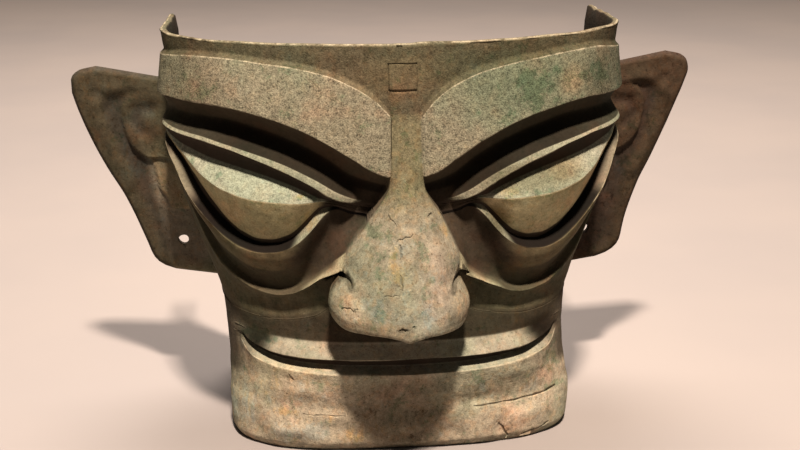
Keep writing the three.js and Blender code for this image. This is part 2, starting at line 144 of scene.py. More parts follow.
def wall_points(turn, height, relief):
    """Points of the wall at some turns, heights and reliefs outward, which are arrays of one shape."""
    shape = np.broadcast(turn, height, relief).shape
    turn, z, relief = (np.broadcast_to(a, shape).ravel().astype(float) for a in (turn, height, relief))
    power = (2 / SQUARENESS(z))[:, None]
    angle = np.linspace(0, math.pi / 2, PLAN_STEPS)
    x = HALF_WIDTH(z)[:, None] * np.sin(angle) ** power
    y = FRONT_DEPTH(z)[:, None] * (1 - np.abs(np.cos(angle)) ** power)
    run = np.cumsum(np.hypot(np.diff(x, axis=1, prepend=0), np.diff(y, axis=1, prepend=0)), axis=1)
    nose_run, = look_up(x, NOSE_HALF(z), run)
    t = np.abs(turn)
    on_nose = nose_run * t / NOSE_TURN
    past_nose = mix(nose_run, run[:, -1], np.minimum((t - NOSE_TURN) / (1 - NOSE_TURN), 1))
    place_x, place_y, out_x, out_y = look_up(
        run, np.where(t < NOSE_TURN, on_nose, past_nose), x, y, np.gradient(y, axis=1), -np.gradient(x, axis=1))
    size = np.hypot(out_x, out_y)
    front = t < 1
    px = np.where(front, place_x + out_x / size * relief, HALF_WIDTH(z) + relief)
    py = np.where(front, place_y + out_y / size * relief, mix(FRONT_DEPTH(z), BACK, t - 1))
    return np.stack([np.sign(turn) * px, py, z], axis=-1).reshape(*shape, 3)


# ---- the nose: how far its ridge and its side edges stand out, by height ----
NOSE_SWAY = Curve(76, 0, 90, -3.4, 110, -3.3, 120, -2.4, 140, -0.3, 165, 1.5, 210, 1.5, 235, 0)
LEFT_JAW = Curve(0, 4, 30, 3.8, 50, 3, 75, 2, 100, 1, 120, 0)
RIGHT_JAW = Curve(0, 1, 20, 1.2, 35, 0.4, 50, -1.4, 70, -2.6, 90, -2.2, 120, 0)
RIDGE = Curve(88, 43, 102, 41.5, 120, 36, 140, 27.5, 160, 17.5, 176, 10.5, 190, 6, 203, 2.5, 215, 0.5, 228, 0)
NOSE_EDGE = Curve(88, 13, 97, 14, 108, 14.5, 116, 13, 124, 10.5, 135, 8, 150, 6.5, 165, 6, 177, 5.5, 195, 3.5,
                  210, 1, 225, 0)


def nose_relief(share, height):
    """The relief of the nose: share is 0 on the ridge and 1 at the side edge."""
    return mix(NOSE_EDGE(height), RIDGE(height), (1 - share ** 2.2) ** 0.9)


def jaw_move(x, z):
    """How far the sides of the jaw are moved to +X, as the real ones are."""
    return LEFT_JAW(z) * step_up(-x, 55, 106) + RIGHT_JAW(z) * step_up(x, 55, 106)


def sway(grid, columns):
    """Moves the nose's sides a little to one side, and the right cheek down, as the real ones are."""
    t = np.abs(columns)
    share = np.minimum(t / NOSE_TURN, 1) ** 2 * (1 - step_up(t, 0.23, 0.34))
    grid[..., 0] += NOSE_SWAY(grid[..., 2]) * share
    x, z = grid[..., 0], grid[..., 2]
    grid[..., 2] -= 1.5 * np.tanh(x / 22) * bump_at(z - 114, 20) * (1 - step_up(np.abs(x), 90, 118))


# ---- the carved lines, from the rim down ----
# Each line has how far its corner is rounded (None for a hollow that is round all over), the steps down to the
# next line, the finish of the strip below it, and the curves of its height and of its relief by turn.
EYE_CORNER = (0.215, -6, 0.25, -5.5)   # the relief near the nose of the lines that meet at the eye's inner corner
LINES = [
    ("rim", 1, 30, "band", (0, HEIGHT, 2, HEIGHT), (0, 0, 2, 0)),
    ("above brow", 1.2, 4, "band",
     (0.2, 214, 0.24, 225, 0.3, 233.5, 0.38, 240.5, 0.5, 245, 0.7, 248, 1, 242, 2, 238), (0, 0, 2, 0)),
    ("brow top", 0.8, 22, "plate",
     (0.2, 212, 0.24, 222, 0.3, 231, 0.38, 238, 0.5, 242.5, 0.7, 245.5, 1, 239.5, 2, 234),
     (0.215, 3, 0.3, 3.5, 0.7, 3.5, 1, 2.5, 1.3, 2.5, 1.35, 0)),
    ("brow arris", 0.7, 4, "brow shadow",
     (0.2, 178, 0.24, 181, 0.3, 189.5, 0.37, 199, 0.46, 208, 0.57, 214.5, 0.7, 218, 1, 216, 2, 208),
     (0.215, 7, 0.4, 9, 0.7, 8, 1, 4, 1.3, 3.5, 1.35, 0)),
    ("brow underside", None, 8, "brow hollow",
     (0.2, 177, 0.24, 179.5, 0.3, 187.5, 0.37, 197, 0.46, 206, 0.57, 212.5, 0.7, 216, 1, 214, 2, 206),
     (0.215, 1, 0.4, 0, 0.7, 1, 1, 1.5, 1.3, 1, 1.35, 0)),
    ("upper cove", None, 10, "lid flank",
     (0.2, 170, 0.3, 175, 0.37, 184.5, 0.46, 194, 0.57, 201.5, 0.7, 206.5, 1, 207, 2, 197),
     (0.215, -6, 0.3, -9, 0.5, -9, 0.7, -7, 0.9, -4, 1.1, -1, 1.3, 0)),
    ("upper lid top", 0.7, 5, "lid",
     (0.2, 160, 0.255, 161.6, 0.3, 165.3, 0.344, 169.5, 0.415, 178, 0.5, 186, 0.58, 191.4, 0.65, 194.8,
      0.75, 198, 1, 200, 2, 188),
     (*EYE_CORNER, 0.268, -2.5, 0.3, 1.5, 0.35, 4.5, 0.4, 5.5, 0.6, 6.5, 0.8, 4.5, 0.93, 2.2, 1, 0.5, 1.2, 0)),
    ("upper lid arris", 0.5, 5, "deep groove",
     (0.2, 159, 0.255, 160.3, 0.3, 162.5, 0.344, 165.8, 0.41, 173.3, 0.49, 181.6, 0.57, 188, 0.65, 193,
      0.75, 196.3, 1, 198.4, 2, 184),
     (*EYE_CORNER, 0.275, -1, 0.32, 4, 0.4, 7, 0.6, 8, 0.8, 6, 0.93, 3, 1, 0)),
    ("groove under lid", None, 4, "deep groove",
     (0.2, 158, 0.255, 159.2, 0.3, 161, 0.34, 163.4, 0.38, 167.3, 0.45, 175.7, 0.55, 184.6, 0.65, 190.8,
      0.75, 194.5, 1, 196.5, 2, 178),
     (*EYE_CORNER, 0.3, -4, 0.37, -2, 0.8, -1, 0.95, 0)),
    ("eyeball top", 1, 14, "eyeball top",
     (0.2, 156.7, 0.255, 158, 0.33, 161.3, 0.375, 163.4, 0.416, 167, 0.5, 173.6, 0.57, 178, 0.64, 181.3,
      0.72, 184.3, 0.8, 187.8, 1, 194, 2, 172),
     (*EYE_CORNER, 0.3, -4, 0.36, -2, 0.4, 0.5, 0.6, 1.5, 0.8, 0)),
    ("eyeball ridge", 0.7, 18, "eyeball",
     (0.2, 155.4, 0.255, 156.8, 0.33, 160.2, 0.375, 161.9, 0.42, 162.2, 0.48, 163.2, 0.57, 165.2, 0.65, 169,
      0.72, 174.2, 0.78, 180.3, 0.85, 187, 1, 192.5, 2, 164),
     (*EYE_CORNER, 0.3, -4, 0.355, -2, 0.385, 2, 0.43, 7.5, 0.48, 10.5, 0.56, 13, 0.65, 12.5, 0.73, 8.5,
      0.8, 3.5, 0.9, 0)),
    ("eyeball foot", 1.2, 4, "deep groove",
     (0.2, 154, 0.255, 155.6, 0.33, 159.2, 0.362, 158, 0.38, 153, 0.4, 146, 0.43, 140, 0.48, 137.3, 0.53, 137.3,
      0.59, 140.3, 0.65, 146, 0.72, 156, 0.78, 168, 0.83, 180, 0.9, 188, 1, 191.5, 2, 150),
     (*EYE_CORNER, 0.3, -4, 0.37, -2.5, 0.4, -1, 0.5, 2, 0.65, 1.5, 0.8, -0.5, 0.95, 0)),
    ("groove over lower lid", 0.8, 6, "lid wall",
     (0.2, 152.5, 0.255, 154.4, 0.325, 158.2, 0.35, 157, 0.37, 151, 0.39, 144.3, 0.42, 138, 0.46, 134.8,
      0.52, 133.4, 0.6, 136.4, 0.68, 145, 0.75, 155.5, 0.8, 166, 0.85, 179, 0.91, 188, 1, 191, 2, 145),
     (*EYE_CORNER, 0.3, -4, 0.35, -2.5, 0.8, -2, 0.95, 0)),
    ("lower lid rim", 0.6, 22, "roll",
     (0.2, 151, 0.255, 153, 0.322, 157, 0.338, 153.5, 0.358, 144.5, 0.38, 138.3, 0.416, 133.7, 0.46, 131.2,
      0.52, 130.3, 0.585, 132.6, 0.65, 138.4, 0.7, 144.8, 0.745, 152.2, 0.8, 163.3, 0.85, 177, 0.91, 187,
      1, 190.5, 2, 143),
     (*EYE_CORNER, 0.3, -3.5, 0.33, 2, 0.37, 6.5, 0.45, 8, 0.75, 8, 0.88, 5, 0.95, 1.5, 1, 0)),
    ("socket foot", None, 5, "socket",
     (0.2, 133, 0.215, 129, 0.25, 121.8, 0.3, 113.2, 0.39, 105.5, 0.46, 104, 0.56, 106, 0.64, 111.5, 0.72, 121,
      0.78, 136, 0.82, 152, 0.86, 172, 0.91, 183, 1, 188, 2, 125),
     (0.2, 8, 0.215, 6, 0.24, 1.5, 0.27, -1.5, 0.32, -4, 0.4, -4.5, 0.5, -4, 0.7, -3, 0.87, -1.5, 0.97, 0)),
    ("cheek crest", 0.8, 6, "cheek",
     (0.2, 121.5, 0.23, 118, 0.26, 114.8, 0.3, 110, 0.35, 105.8, 0.39, 103.5, 0.46, 102, 0.56, 104, 0.645, 109.5,
      0.73, 119, 0.79, 133.5, 0.83, 149.5, 0.87, 169, 0.92, 181, 1, 186, 2, 122),
     (0.2, 11, 0.215, 10, 0.24, 8, 0.27, 6, 0.35, 3.5, 0.5, 2.5, 0.8, 2, 0.92, 1, 1, 0)),
    ("hook over nostril wing", None, 8, "cheek",
     (0, 117, 0.2, 118.5, 0.25, 112.5, 0.3, 107.5, 0.39, 101, 0.46, 99.5, 0.6, 102, 0.72, 110, 0.8, 122,
      0.9, 150, 1, 160, 2, 112),
     (0.215, -3, 0.25, -4, 0.35, -1.5, 0.5, 0)),
    ("cheek", None, 9, "cheek",
     (0, 101, 0.2, 109, 0.3, 100, 0.45, 93, 0.7, 98, 0.85, 110, 1, 118, 2, 100),
     (0.215, -3, 0.3, -3, 0.6, -2, 0.85, 0)),
    ("nose lip", 3, 10, "under nose",
     (0, 89.3, 0.03, 91, 0.07, 92.3, 0.12, 92, 0.155, 91.3, 0.175, 92.3, 0.19, 94.5, 0.2, 98, 0.22, 95, 0.3, 90,
      0.5, 86, 0.75, 88, 1, 94, 2, 90),
     (0.215, -2.9, 0.4, -2.5, 0.6, -1.85, 0.85, 0)),
    ("nose underside", 1.5, 9, "under cheek",
     (0, 87.5, 0.03, 89, 0.07, 90.2, 0.12, 90, 0.155, 89.3, 0.175, 90.2, 0.19, 92.2, 0.2, 95, 0.22, 92.5,
      0.3, 88, 0.5, 84, 0.75, 86, 1, 91, 2, 87),
     (0, 0, 0.2, -2, 0.4, -2.4, 0.6, -1.8, 0.85, 0)),
    ("upper lip top", 1.5, 12, "lip",
     (0, 71.5, 0.3, 72.5, 0.6, 75, 0.72, 77.5, 1, 76, 2, 76), (0, -1.5, 0.6, -1.5, 0.72, -1, 0.85, 0)),
    ("upper lip arris", 0.7, 5, "deep groove",
     (0, 63, 0.25, 63.8, 0.42, 65.2, 0.55, 67, 0.65, 69.8, 0.7, 72.3, 1, 66, 2, 64),
     (0, 6, 0.45, 5.6, 0.55, 4, 0.65, 2.4, 0.71, 0.6, 0.8, 0)),
    ("slit top", 0.8, 5, "deep groove",
     (0, 61.8, 0.25, 62.5, 0.42, 63.8, 0.55, 65.5, 0.65, 68.3, 0.7, 71.3, 1, 64, 2, 60),
     (0, -2.5, 0.6, -2.5, 0.68, -1.5, 0.71, 0)),
    ("slit foot", 0.8, 5, "lip",
     (0, 56.3, 0.25, 57.6, 0.4, 59.2, 0.5, 60.8, 0.6, 63.8, 0.66, 67.5, 0.7, 70.4, 1, 60, 2, 54),
     (0, -1.5, 0.6, -1.5, 0.68, -1, 0.71, 0)),
    ("lower lip arris", 0.9, 6, "chin",
     (0, 53.3, 0.25, 54.6, 0.4, 56.3, 0.5, 58.2, 0.6, 61.4, 0.66, 65, 0.7, 68, 1, 56, 2, 50),
     (0, 6.5, 0.6, 6, 0.68, 3, 0.73, 0)),
    ("lower lip foot", None, 8, "chin",
     (0, 45, 0.4, 48.5, 0.6, 52.5, 0.7, 57, 1, 48, 2, 44), (0, 4.8, 0.6, 4, 0.73, 1, 0.85, 0)),
    ("chin hollow", None, 6, "chin", (0, 32, 0.5, 38, 0.7, 41, 1, 38, 2, 35), (0, 2, 0.6, 2, 0.85, 0.5, 1, 0)),
    ("above chin band", 1.6, 4, "chin",
     (0, 27, 0.3, 29.5, 0.5, 31, 0.7, 33, 1, 31, 2, 29), (0, 1.5, 0.6, 1.5, 1, 0)),
    ("chin band top", 1.6, 14, "chin",
     (0, 22, 0.3, 24.5, 0.5, 26, 0.7, 28.5, 1, 26.5, 2, 24), (0, 2.3, 0.7, 2.3, 0.95, 1, 1.2, 0)),
    ("chin edge", 1.8, 4, "chin", (0, 5, 2, 5), (0, 2, 0.7, 2, 0.95, 0.5, 1.2, 0)),
    ("base", 1, 0, "chin", (0, 0.8, 2, 0.8), (0, -1.2, 0.9, -1.2, 1.2, -0.6, 1.6, 0)),
]

# Rows between two carved lines: below which line, at what share of the way down, and how far they bulge out.
BETWEEN = [
    ("brow top", 0.5, 0.6),
    ("brow underside", 0.5, -2),
    ("upper cove", 0.5, -1.5),
    ("eyeball top", 0.5, 0.8),
    ("eyeball ridge", 0.5, 1.2),
    ("groove over lower lid", 0.72, 0),
    ("lower lid rim", 0.25, 2),
    ("lower lid rim", 0.55, 0),
    ("lower lid rim", 0.82, -1.5),
    ("socket foot", 0.5, 0),
    ("hook over nostril wing", 0.5, 0),
    ("upper lip top", 0.5, 0.5),
    ("chin band top", 0.5, 0.8),
]

# Turns from the middle of the face to the back edge.
HALF_TURNS = spread([
    (0, NOSE_TURN, 26), (NOSE_TURN, FOOT_TURN, 4), (FOOT_TURN, 0.33, 14), (0.33, 0.43, 14), (0.43, 0.71, 28),
    (0.71, 0.93, 24), (0.93, 1, 5), (1, 1.3, 5), (1.3, 1.35, 2), (1.35, 1.98, 5), (1.98, 2, 3)])
TURNS = np.concatenate([-HALF_TURNS[:0:-1], HALF_TURNS])

# Each finish: its colour, and its shares of coarse grain, of cloudy mottling and of sheen.
FINISHES = {
    "band": (0.078, 0.067, 0.042, 0.7, 0.7, 0),
    "plate": (0.158, 0.146, 0.103, 1, 0.35, 0),
    "brow shadow": (0.036, 0.028, 0.017, 0.05, 0.4, 0.1),
    # Painted light: the brow hollow lies in the brow's shadow and is made lighter than its neighbours to lift that
    # shadow.
    "brow hollow": (0.058, 0.046, 0.03, 0.05, 0.4, 0.1),
    "socket": (0.05, 0.041, 0.026, 0.1, 0.5, 0.2),
    "inner socket": (0.034, 0.026, 0.018, 0.1, 0.6, 0.1),
    # Painted shade: the lid flank is made very dark where the brow's shadow falls, and the outer lid flank less so.
    "lid flank": (0.0145, 0.0118, 0.008, 0.1, 0.4, 0.1),
    "outer lid flank": (0.032, 0.029, 0.02, 0.3, 0.5, 0.1),
    # Painted light: the deep groove tone is lighter than the shade that falls in these grooves, to lift it from
    # black.
    "deep groove": (0.045, 0.034, 0.025, 0, 0.3, 0),
    # Painted shade: the lid wall faces up but is made almost black, as the shade in the groove around the eyeball.
    "lid wall": (0.0078, 0.0062, 0.005, 0, 0.2, 0),
    "lid": (0.18, 0.172, 0.125, 0.6, 0.3, 0),
    "worn lid": (0.15, 0.122, 0.088, 0.3, 0.4, 0),
    "eyeball top": (0.2, 0.2, 0.152, 0.7, 0.35, 0),
    "eyeball": (0.29, 0.235, 0.135, 0.3, 0.6, 0),
    "roll": (0.095, 0.075, 0.043, 0.1, 0.7, 0.2),
    "crest": (0.25, 0.23, 0.15, 0.5, 0.4, 0),
    "cheek": (0.07, 0.06, 0.037, 0.2, 0.8, 0.1),
    "under cheek": (0.032, 0.026, 0.017, 0.2, 0.8, 0.1),
    "bridge": (0.115, 0.104, 0.062, 0.6, 0.9, 0),
    "nose": (0.176, 0.162, 0.118, 0.4, 1, 0),
    "under nose": (0.044, 0.036, 0.023, 0.2, 0.6, 0.1),
    "lip": (0.2, 0.185, 0.14, 0.25, 0.8, 0),
    "lip end": (0.019, 0.015, 0.0105, 0.2, 0.8, 0),
    "chin": (0.3, 0.26, 0.19, 0.45, 1, 0),
    "ear": (0.045, 0.038, 0.024, 0.3, 1, 0.1),
    "ear hollow": (0.036, 0.031, 0.023, 0.2, 1, 0.1),
    "side": (0.072, 0.06, 0.043, 0.4, 0.8, 0.1),
    "rim": (0.08, 0.07, 0.046, 0.7, 0.8, 0),
    "inside": (0.017, 0.014, 0.01, 0.6, 0.7, 0),
}

# Where strips take another finish: strips, finish, the turns over which it comes, and those over which it goes.
AT_ONCE, NEVER = (-1, 0), (3, 4)
CHANGES = [
    (("socket foot 0.5",), "crest", (0.19, 0.2), (0.29, 0.37)),
    (("socket foot",), "crest", (0.19, 0.2), (0.215, 0.24)),
    (("upper cove", "upper cove 0.5"), "outer lid flank", (0.6, 0.85), NEVER),
    (("upper cove 0.5",), "inner socket", AT_ONCE, (0.27, 0.3)),
    (("upper lid top",), "inner socket", AT_ONCE, (0.25, 0.265)),
    (("eyeball top", "eyeball top 0.5"), "inner socket", AT_ONCE, (0.345, 0.37)),
    (("eyeball ridge", "eyeball ridge 0.5"), "inner socket", AT_ONCE, (0.35, 0.38)),
    (("groove over lower lid", "groove over lower lid 0.72"), "lid", (0.325, 0.335), (0.38, 0.41)),
    (("groove over lower lid 0.72",), "worn lid", (0.76, 0.8), (0.86, 0.9)),
    (("lower lid rim",), "inner socket", AT_ONCE, (0.34, 0.45)),
    (("lower lid rim 0.25",), "inner socket", AT_ONCE, (0.36, 0.48)),
    (("lower lid rim 0.55",), "socket", AT_ONCE, NEVER),
    (("lower lid rim 0.55",), "inner socket", AT_ONCE, (0.32, 0.42)),
    (("lower lid rim 0.82",), "socket", AT_ONCE, NEVER),
    (("lower lid rim 0.82",), "inner socket", AT_ONCE, (0.28, 0.38)),
    (("upper lip top",), "lip end", (0.46, 0.56), NEVER),
    (("upper lip top 0.5",), "lip end", (0.48, 0.58), NEVER),
    (("upper lip arris",), "side", (0.68, 0.72), NEVER),
    (("slit top",), "side", (0.68, 0.72), NEVER),
    (("slit foot",), "side", (0.56, 0.7), NEVER),
]

# How worn a line's corner is, by turn. The others are worn alike all along.
WEAR = {
    "brow top": Curve(0, 1.3, 2, 1.3),
    "upper lid top": Curve(0.26, 0, 0.3, 0.6),
    "upper lid arris": Curve(0.26, 0, 0.3, 1),
    "lower lid rim": Curve(0.32, 0, 0.35, 0.7, 0.4, 0.7, 0.43, 0, 0.7, 0, 0.76, 2, 0.9, 2, 0.95, 0),
    "cheek crest": Curve(0.2, 0, 0.24, 1, 0.3, 1, 0.37, 0.05, 1, 0.05),
    "nose lip": Curve(0.19, 0.6, 0.21, 0),
    "upper lip top": Curve(0.4, 1, 0.5, 0),
    "upper lip arris": Curve(0.5, 1, 0.6, 0),
}
WEAR.update(dict.fromkeys(("groove under lid", "eyeball foot", "nose underside", "above chin band",
                           "chin band top", "slit top", "slit foot"), Curve(0, 0, 2, 0)))


# Patches of each kind of corrosion: middle (x, z), half width, half height, and how strong.
PATCHES = {
    "green": [(-22, 149, 9, 4, 1), (10, 135, 4, 15, 0.7), (-33, 139, 3, 8, 0.7), (92, 230, 34, 9, 0.5),
        (76, 227, 11, 8, 0.6), (120, 232, 8, 10, 0.6), (60, 226, 16, 10, 0.3), (-116, 232, 6, 14, 0.4),
        (-88, 73, 10, 4, 1), (96, 31, 9, 2.5, 1), (100, 52, 7, 11, 0.7), (45, 47, 9, 6, 0.5),
        (96, 106, 18, 6, 0.5), (-60, 165, 26, 3, 0.5), (70, 166, 26, 3, 0.4), (104, 214, 26, 6, 0.4),
        (-20, 112, 4, 16, 0.4)],
    "ochre": [(-7.5, 133, 3.5, 12, 0.8), (-73, 26.5, 9, 3, 1.2), (-50, 21, 12, 5, 0.8), (-30, 13, 9, 8, 0.8),
        (-60, 166, 3, 2, 1.5), (62, 21, 10, 6, 0.6), (-85, 44, 15, 9, 0.4), (62, 165, 12, 4, 0.8),
        (-54, 150, 7, 9, 1), (22, 46, 26, 4, 0.6), (30, 150, 12, 16, 0.6), (66, 118, 12, 7, 0.6)],
    "ash": [(-21, 108.5, 8, 6, 0.9), (9, 112, 7, 8, 0.9), (-60, 14, 16, 6, 1), (-104, 22, 7, 14, 0.8),
        (52, 19, 7, 5, 0.6), (-95, 232, 14, 8, 0.5), (80, 36, 12, 5, 0.6), (-175, 165, 9, 22, 0.8),
        (172, 115, 10, 16, 0.6), (-165, 188, 8, 9, 1), (-75, 14, 6, 9, 0.8)],
    "stain": [(-3, 98, 7, 2.5, 1), (65, 9, 4, 7, 1), (-69, 51.5, 4, 2.5, 1.3), (82, 6, 8, 3, 0.8),
        (12, 9, 12, 8, 0.6), (88, 47, 10, 4, 0.6), (-40, 137, 6, 7, 0.4), (-96, 213, 14, 5, 0.4),
        (40, 239, 26, 5, 0.5), (-30, 244, 22, 6, 0.5), (165, 196, 9, 3, 1), (160, 130, 14, 14, 0.6),
        (120, 222, 8, 10, 0.5), (8, 26, 30, 4, 0.6)],
}

# Broad changes of tone: middle (x, z), half width, half height, and the tint in red, green and blue. One of them
# darkens the chin under the nose as painted shadow.
TINTS_AND_PAINTED_SHADOW = [
    (86, 232, 62, 24, (0.7, 0.78, 0.74)), (132, 228, 22, 28, (0.6, 0.62, 0.62)),
    (-124, 230, 22, 26, (0.78, 0.74, 0.72)), (75, 174, 34, 10, (0.62, 0.57, 0.5)),
    (15, 122, 12, 22, (1.25, 1.15, 1.2)), (-33, 104, 10, 9, (1.75, 1.62, 1.6)), (34, 104, 8, 8, (1.25, 1.15, 1.1)),
    # Painted shadow: the first tint on the next line darkens the middle of the chin where the nose's shadow falls.
    (0, 22, 36, 34, (0.56, 0.52, 0.5)), (-72, 57, 34, 4, (1.25, 1.22, 1.15)), (-72, 47, 30, 7, (1.4, 1.36, 1.32)),
    (84, 18, 26, 10, (1.2, 1.2, 1.22)), (0, 236, 30, 12, (1.3, 1.14, 1.08)), (4, 103, 22, 9, (1.04, 1.12, 1.18)),
    (90, 74, 17, 6, (0.45, 0.42, 0.4)), (98, 178, 12, 8, (0.95, 0.84, 0.74)), (101, 229, 8, 8, (1.35, 1.08, 1)),
    (82, 150, 24, 12, (1.25, 1.22, 1.25)), (62, 40, 30, 7, (0.8, 0.74, 0.72)),
    (56, 148, 8, 10, (0.45, 0.42, 0.36)), (-20, 96, 26, 5, (0.9, 0.85, 0.8)),
]

# Lumps and hollows of the skin: middle (x, z), half width, half height, and how far they stand out, as a share
# of a lump's height.
LUMP_HEIGHT = 1.5
LUMPS = [
    (-9, 131, 4, 9, 0.9), (-16, 118, 7, 12, 0.6), (8.5, 128, 3.5, 17, -0.7), (17, 122, 5, 20, 0.6),
    (-2, 107, 2.5, 9, 0.8), (5, 101, 6, 6, -0.6), (-13, 104, 7, 7, -0.6), (13, 108, 5, 8, -0.5),
    (-24, 149, 5, 4, -0.5), (26, 104, 7, 7, 0.6), (-28, 112, 4, 9, -0.5), (2, 148, 5, 5, 0.5),
    (-34, 98, 6, 5, 0.5), (4, 168, 3, 14, 0.5), (-70, 14, 16, 5, 0.9), (-42, 15, 10, 4, -0.7),
    (-20, 8, 12, 4, 0.7), (62, 12, 5, 7, -1), (82, 19, 14, 5, 0.7), (0, 17, 20, 4, 0.8), (-88, 36, 8, 8, 0.6),
    (95, 48, 7, 9, -0.8), (70, 50, 10, 4, 0.7), (30, 12, 9, 6, -0.6), (-60, 41, 12, 5, 0.6), (-92, 12, 6, 7, -0.8),
    (20, 40, 16, 4, 0.6), (45, 32, 12, 4, -0.6), (-30, 30, 12, 5, -0.5),
]

OF_FINISH = 6               # the numbers of a finish, which come first in a point's layers
WORN = 6                    # the layer that tells how worn a point is
LAYERS = 7 + len(PATCHES)


def finish_of(name):
    return np.array(FINISHES[name])


def weathered(points, finish):
    """Finish shares and wear with the tints worked into their colours, one of them painted shadow on the chin, and
    the layers of corrosion added.
    """
    finish = finish.copy()
    for *place, tint in TINTS_AND_PAINTED_SHADOW:
        finish[..., :3] *= mix(1, np.array(tint), spot(points, *place, power=2)[..., None])
    layers = [sum(strength * spot(points, *place) for *place, strength in spots) for spots in PATCHES.values()]
    return np.concatenate([finish, np.stack(layers, axis=-1)], axis=-1)


def carved_rows():
    """Every row of knots of the outer surface: heights, reliefs, corner radii, steps, and strip names."""
    t = np.abs(TURNS)
    names = [line[0] for line in LINES]
    on_nose_from, on_nose_to = names.index("above brow"), names.index("nose lip")
    rows = []
    height, relief = ([Curve(*line[part])(t) for line in LINES] for part in (4, 5))
    for number, (name, radius, steps, finish, *_) in enumerate(LINES):
        added = [row for row in BETWEEN if row[0] == name]
        steps = max(1, round(steps / (1 + len(added))))
        on_nose = on_nose_from <= number <= on_nose_to
        rows.append((height[number], relief[number], radius, steps, (name, finish), on_nose))
        for _, share, bulge in added:
            fade = np.where(t < 1, 1 - t ** 4, 0) * step_up(t, 0.22, 0.36)
            z_between = mix(height[number], height[number + 1], share)
            out_between = mix(relief[number], relief[number + 1], share) + bulge * fade
            rows.append((z_between, out_between, None, steps, (f"{name} {share}", finish), on_nose))
    height, relief, radius, steps, finish, on_nose = (list(column) for column in zip(*rows))
    height, on_nose = np.array(height), np.array(on_nose)
    of_nose = on_nose[:, None] & (t <= NOSE_TURN)
    relief = np.where(of_nose, nose_relief(np.minimum(t / NOSE_TURN, 1), height), relief)
    return height, relief, radius, steps, finish, on_nose


def swept_rows(knots, radius, steps, wear):
    """Rows of points down each column of knots, with every corner rounded.

    It also gives the strip that each row is in, and how sharp and proud the corner is that a row passes.
    """
    leg = np.diff(knots, axis=0)
    length = np.linalg.norm(leg, axis=2, keepdims=True)
    leg = leg / np.maximum(length, 1e-9)
    bend = np.zeros(knots.shape[:2])
    bend[1:-1] = ((leg[:-1] - leg[1:]) * outward(knots)[1:-1]).sum(axis=2) * wear[1:-1]
    last = len(knots) - 1

    def corner(k, t):
        """A point of the rounded corner k, from t = 0 on the leg above it to 1 on the leg below it."""
        if k in (0, last):
            return knots[k]
        reach = 1e9 if radius[k] is None else radius[k]
        above = knots[k] - leg[k - 1] * np.minimum(reach, length[k - 1] / 2)
        below = knots[k] + leg[k] * np.minimum(reach, length[k] / 2)
        return (1 - t) ** 2 * above + 2 * t * (1 - t) * knots[k] + t ** 2 * below

    rows, strips, sharpness = [], [], []
    for k, count in enumerate(steps[:-1]):
        round_top, round_foot = radius[k] is None, radius[k + 1] is None
        top = count // 2 if round_top else min(CORNER_STEPS, count // 2)
        foot = count - count // 2 if round_foot else min(CORNER_STEPS, count // 2)
        if round_top and not round_foot:
            top = (count - foot) * 2 // 3
        if round_foot and not round_top:
            foot = (count - top) * 2 // 3
        middle = count - top - foot
        rows += [corner(k, 0.5 + 0.5 * i / top) for i in range(top)]
        rows += [mix(corner(k, 1), corner(k + 1, 0), i / middle) for i in range(middle)]
        rows += [corner(k + 1, 0.5 * i / foot) for i in range(foot)]
        sharpness += [bend[k] * (1 - i / top) * (not round_top) for i in range(top)]
        sharpness += [bend[k] * 0] * middle
        sharpness += [bend[k + 1] * (i / foot) * (not round_foot) for i in range(foot)]
        strips += [k] * count
    return np.array(rows + [knots[last]]), np.array(strips + [last - 1]), np.array(sharpness + [bend[last]])


def outward(grid):
    """The outward direction at each point of a grid of rows from the top down and columns from -X to +X."""
    way = np.cross(np.gradient(grid, axis=0), np.gradient(grid, axis=1))
    return way / np.maximum(np.linalg.norm(way, axis=2, keepdims=True), 1e-9)


def softened(values, rounds):
    """A grid of values with each one drawn towards its four neighbours, again and again."""
    for _ in range(rounds):
        padded = np.pad(values, [(1, 1), (1, 1)] + [(0, 0)] * (values.ndim - 2), mode="edge")
        ring = padded[:-2, 1:-1] + padded[2:, 1:-1] + padded[1:-1, :-2] + padded[1:-1, 2:]
        values = 0.5 * values + 0.125 * ring
    return values


def from_path(x, z, *path):
    """The distance from each place to a path of points, seen from the front."""
    nearest = np.full(np.shape(x), 1e9)
    for (ax, az), (bx, bz) in zip(path, path[1:]):
        along = (x - ax) * (bx - ax) + (z - az) * (bz - az)
        t = np.clip(along / ((bx - ax) ** 2 + (bz - az) ** 2), 0, 1)
        nearest = np.minimum(nearest, np.hypot(x - mix(ax, bx, t), z - mix(az, bz, t)))
    return nearest


def even_nose(grid, first, last):
    """Spreads rows evenly over the nose, where they are free of the carved lines, and lays them on its form."""
    nose = np.abs(TURNS) <= NOSE_TURN
    share = np.abs(TURNS[nose]) / NOSE_TURN
    z = grid[first:last, nose, 2]
    way_down = (z[0, 0] - z[:, :1]) / (z[0, 0] - z[-1, 0])
    even = np.linspace(0, 1, len(z))[:, None]
    z = mix(z[0], z[-1], mix(even, way_down, share ** 3))
    grid[first:last, nose] = wall_points(TURNS[nose], z, nose_relief(share, z))


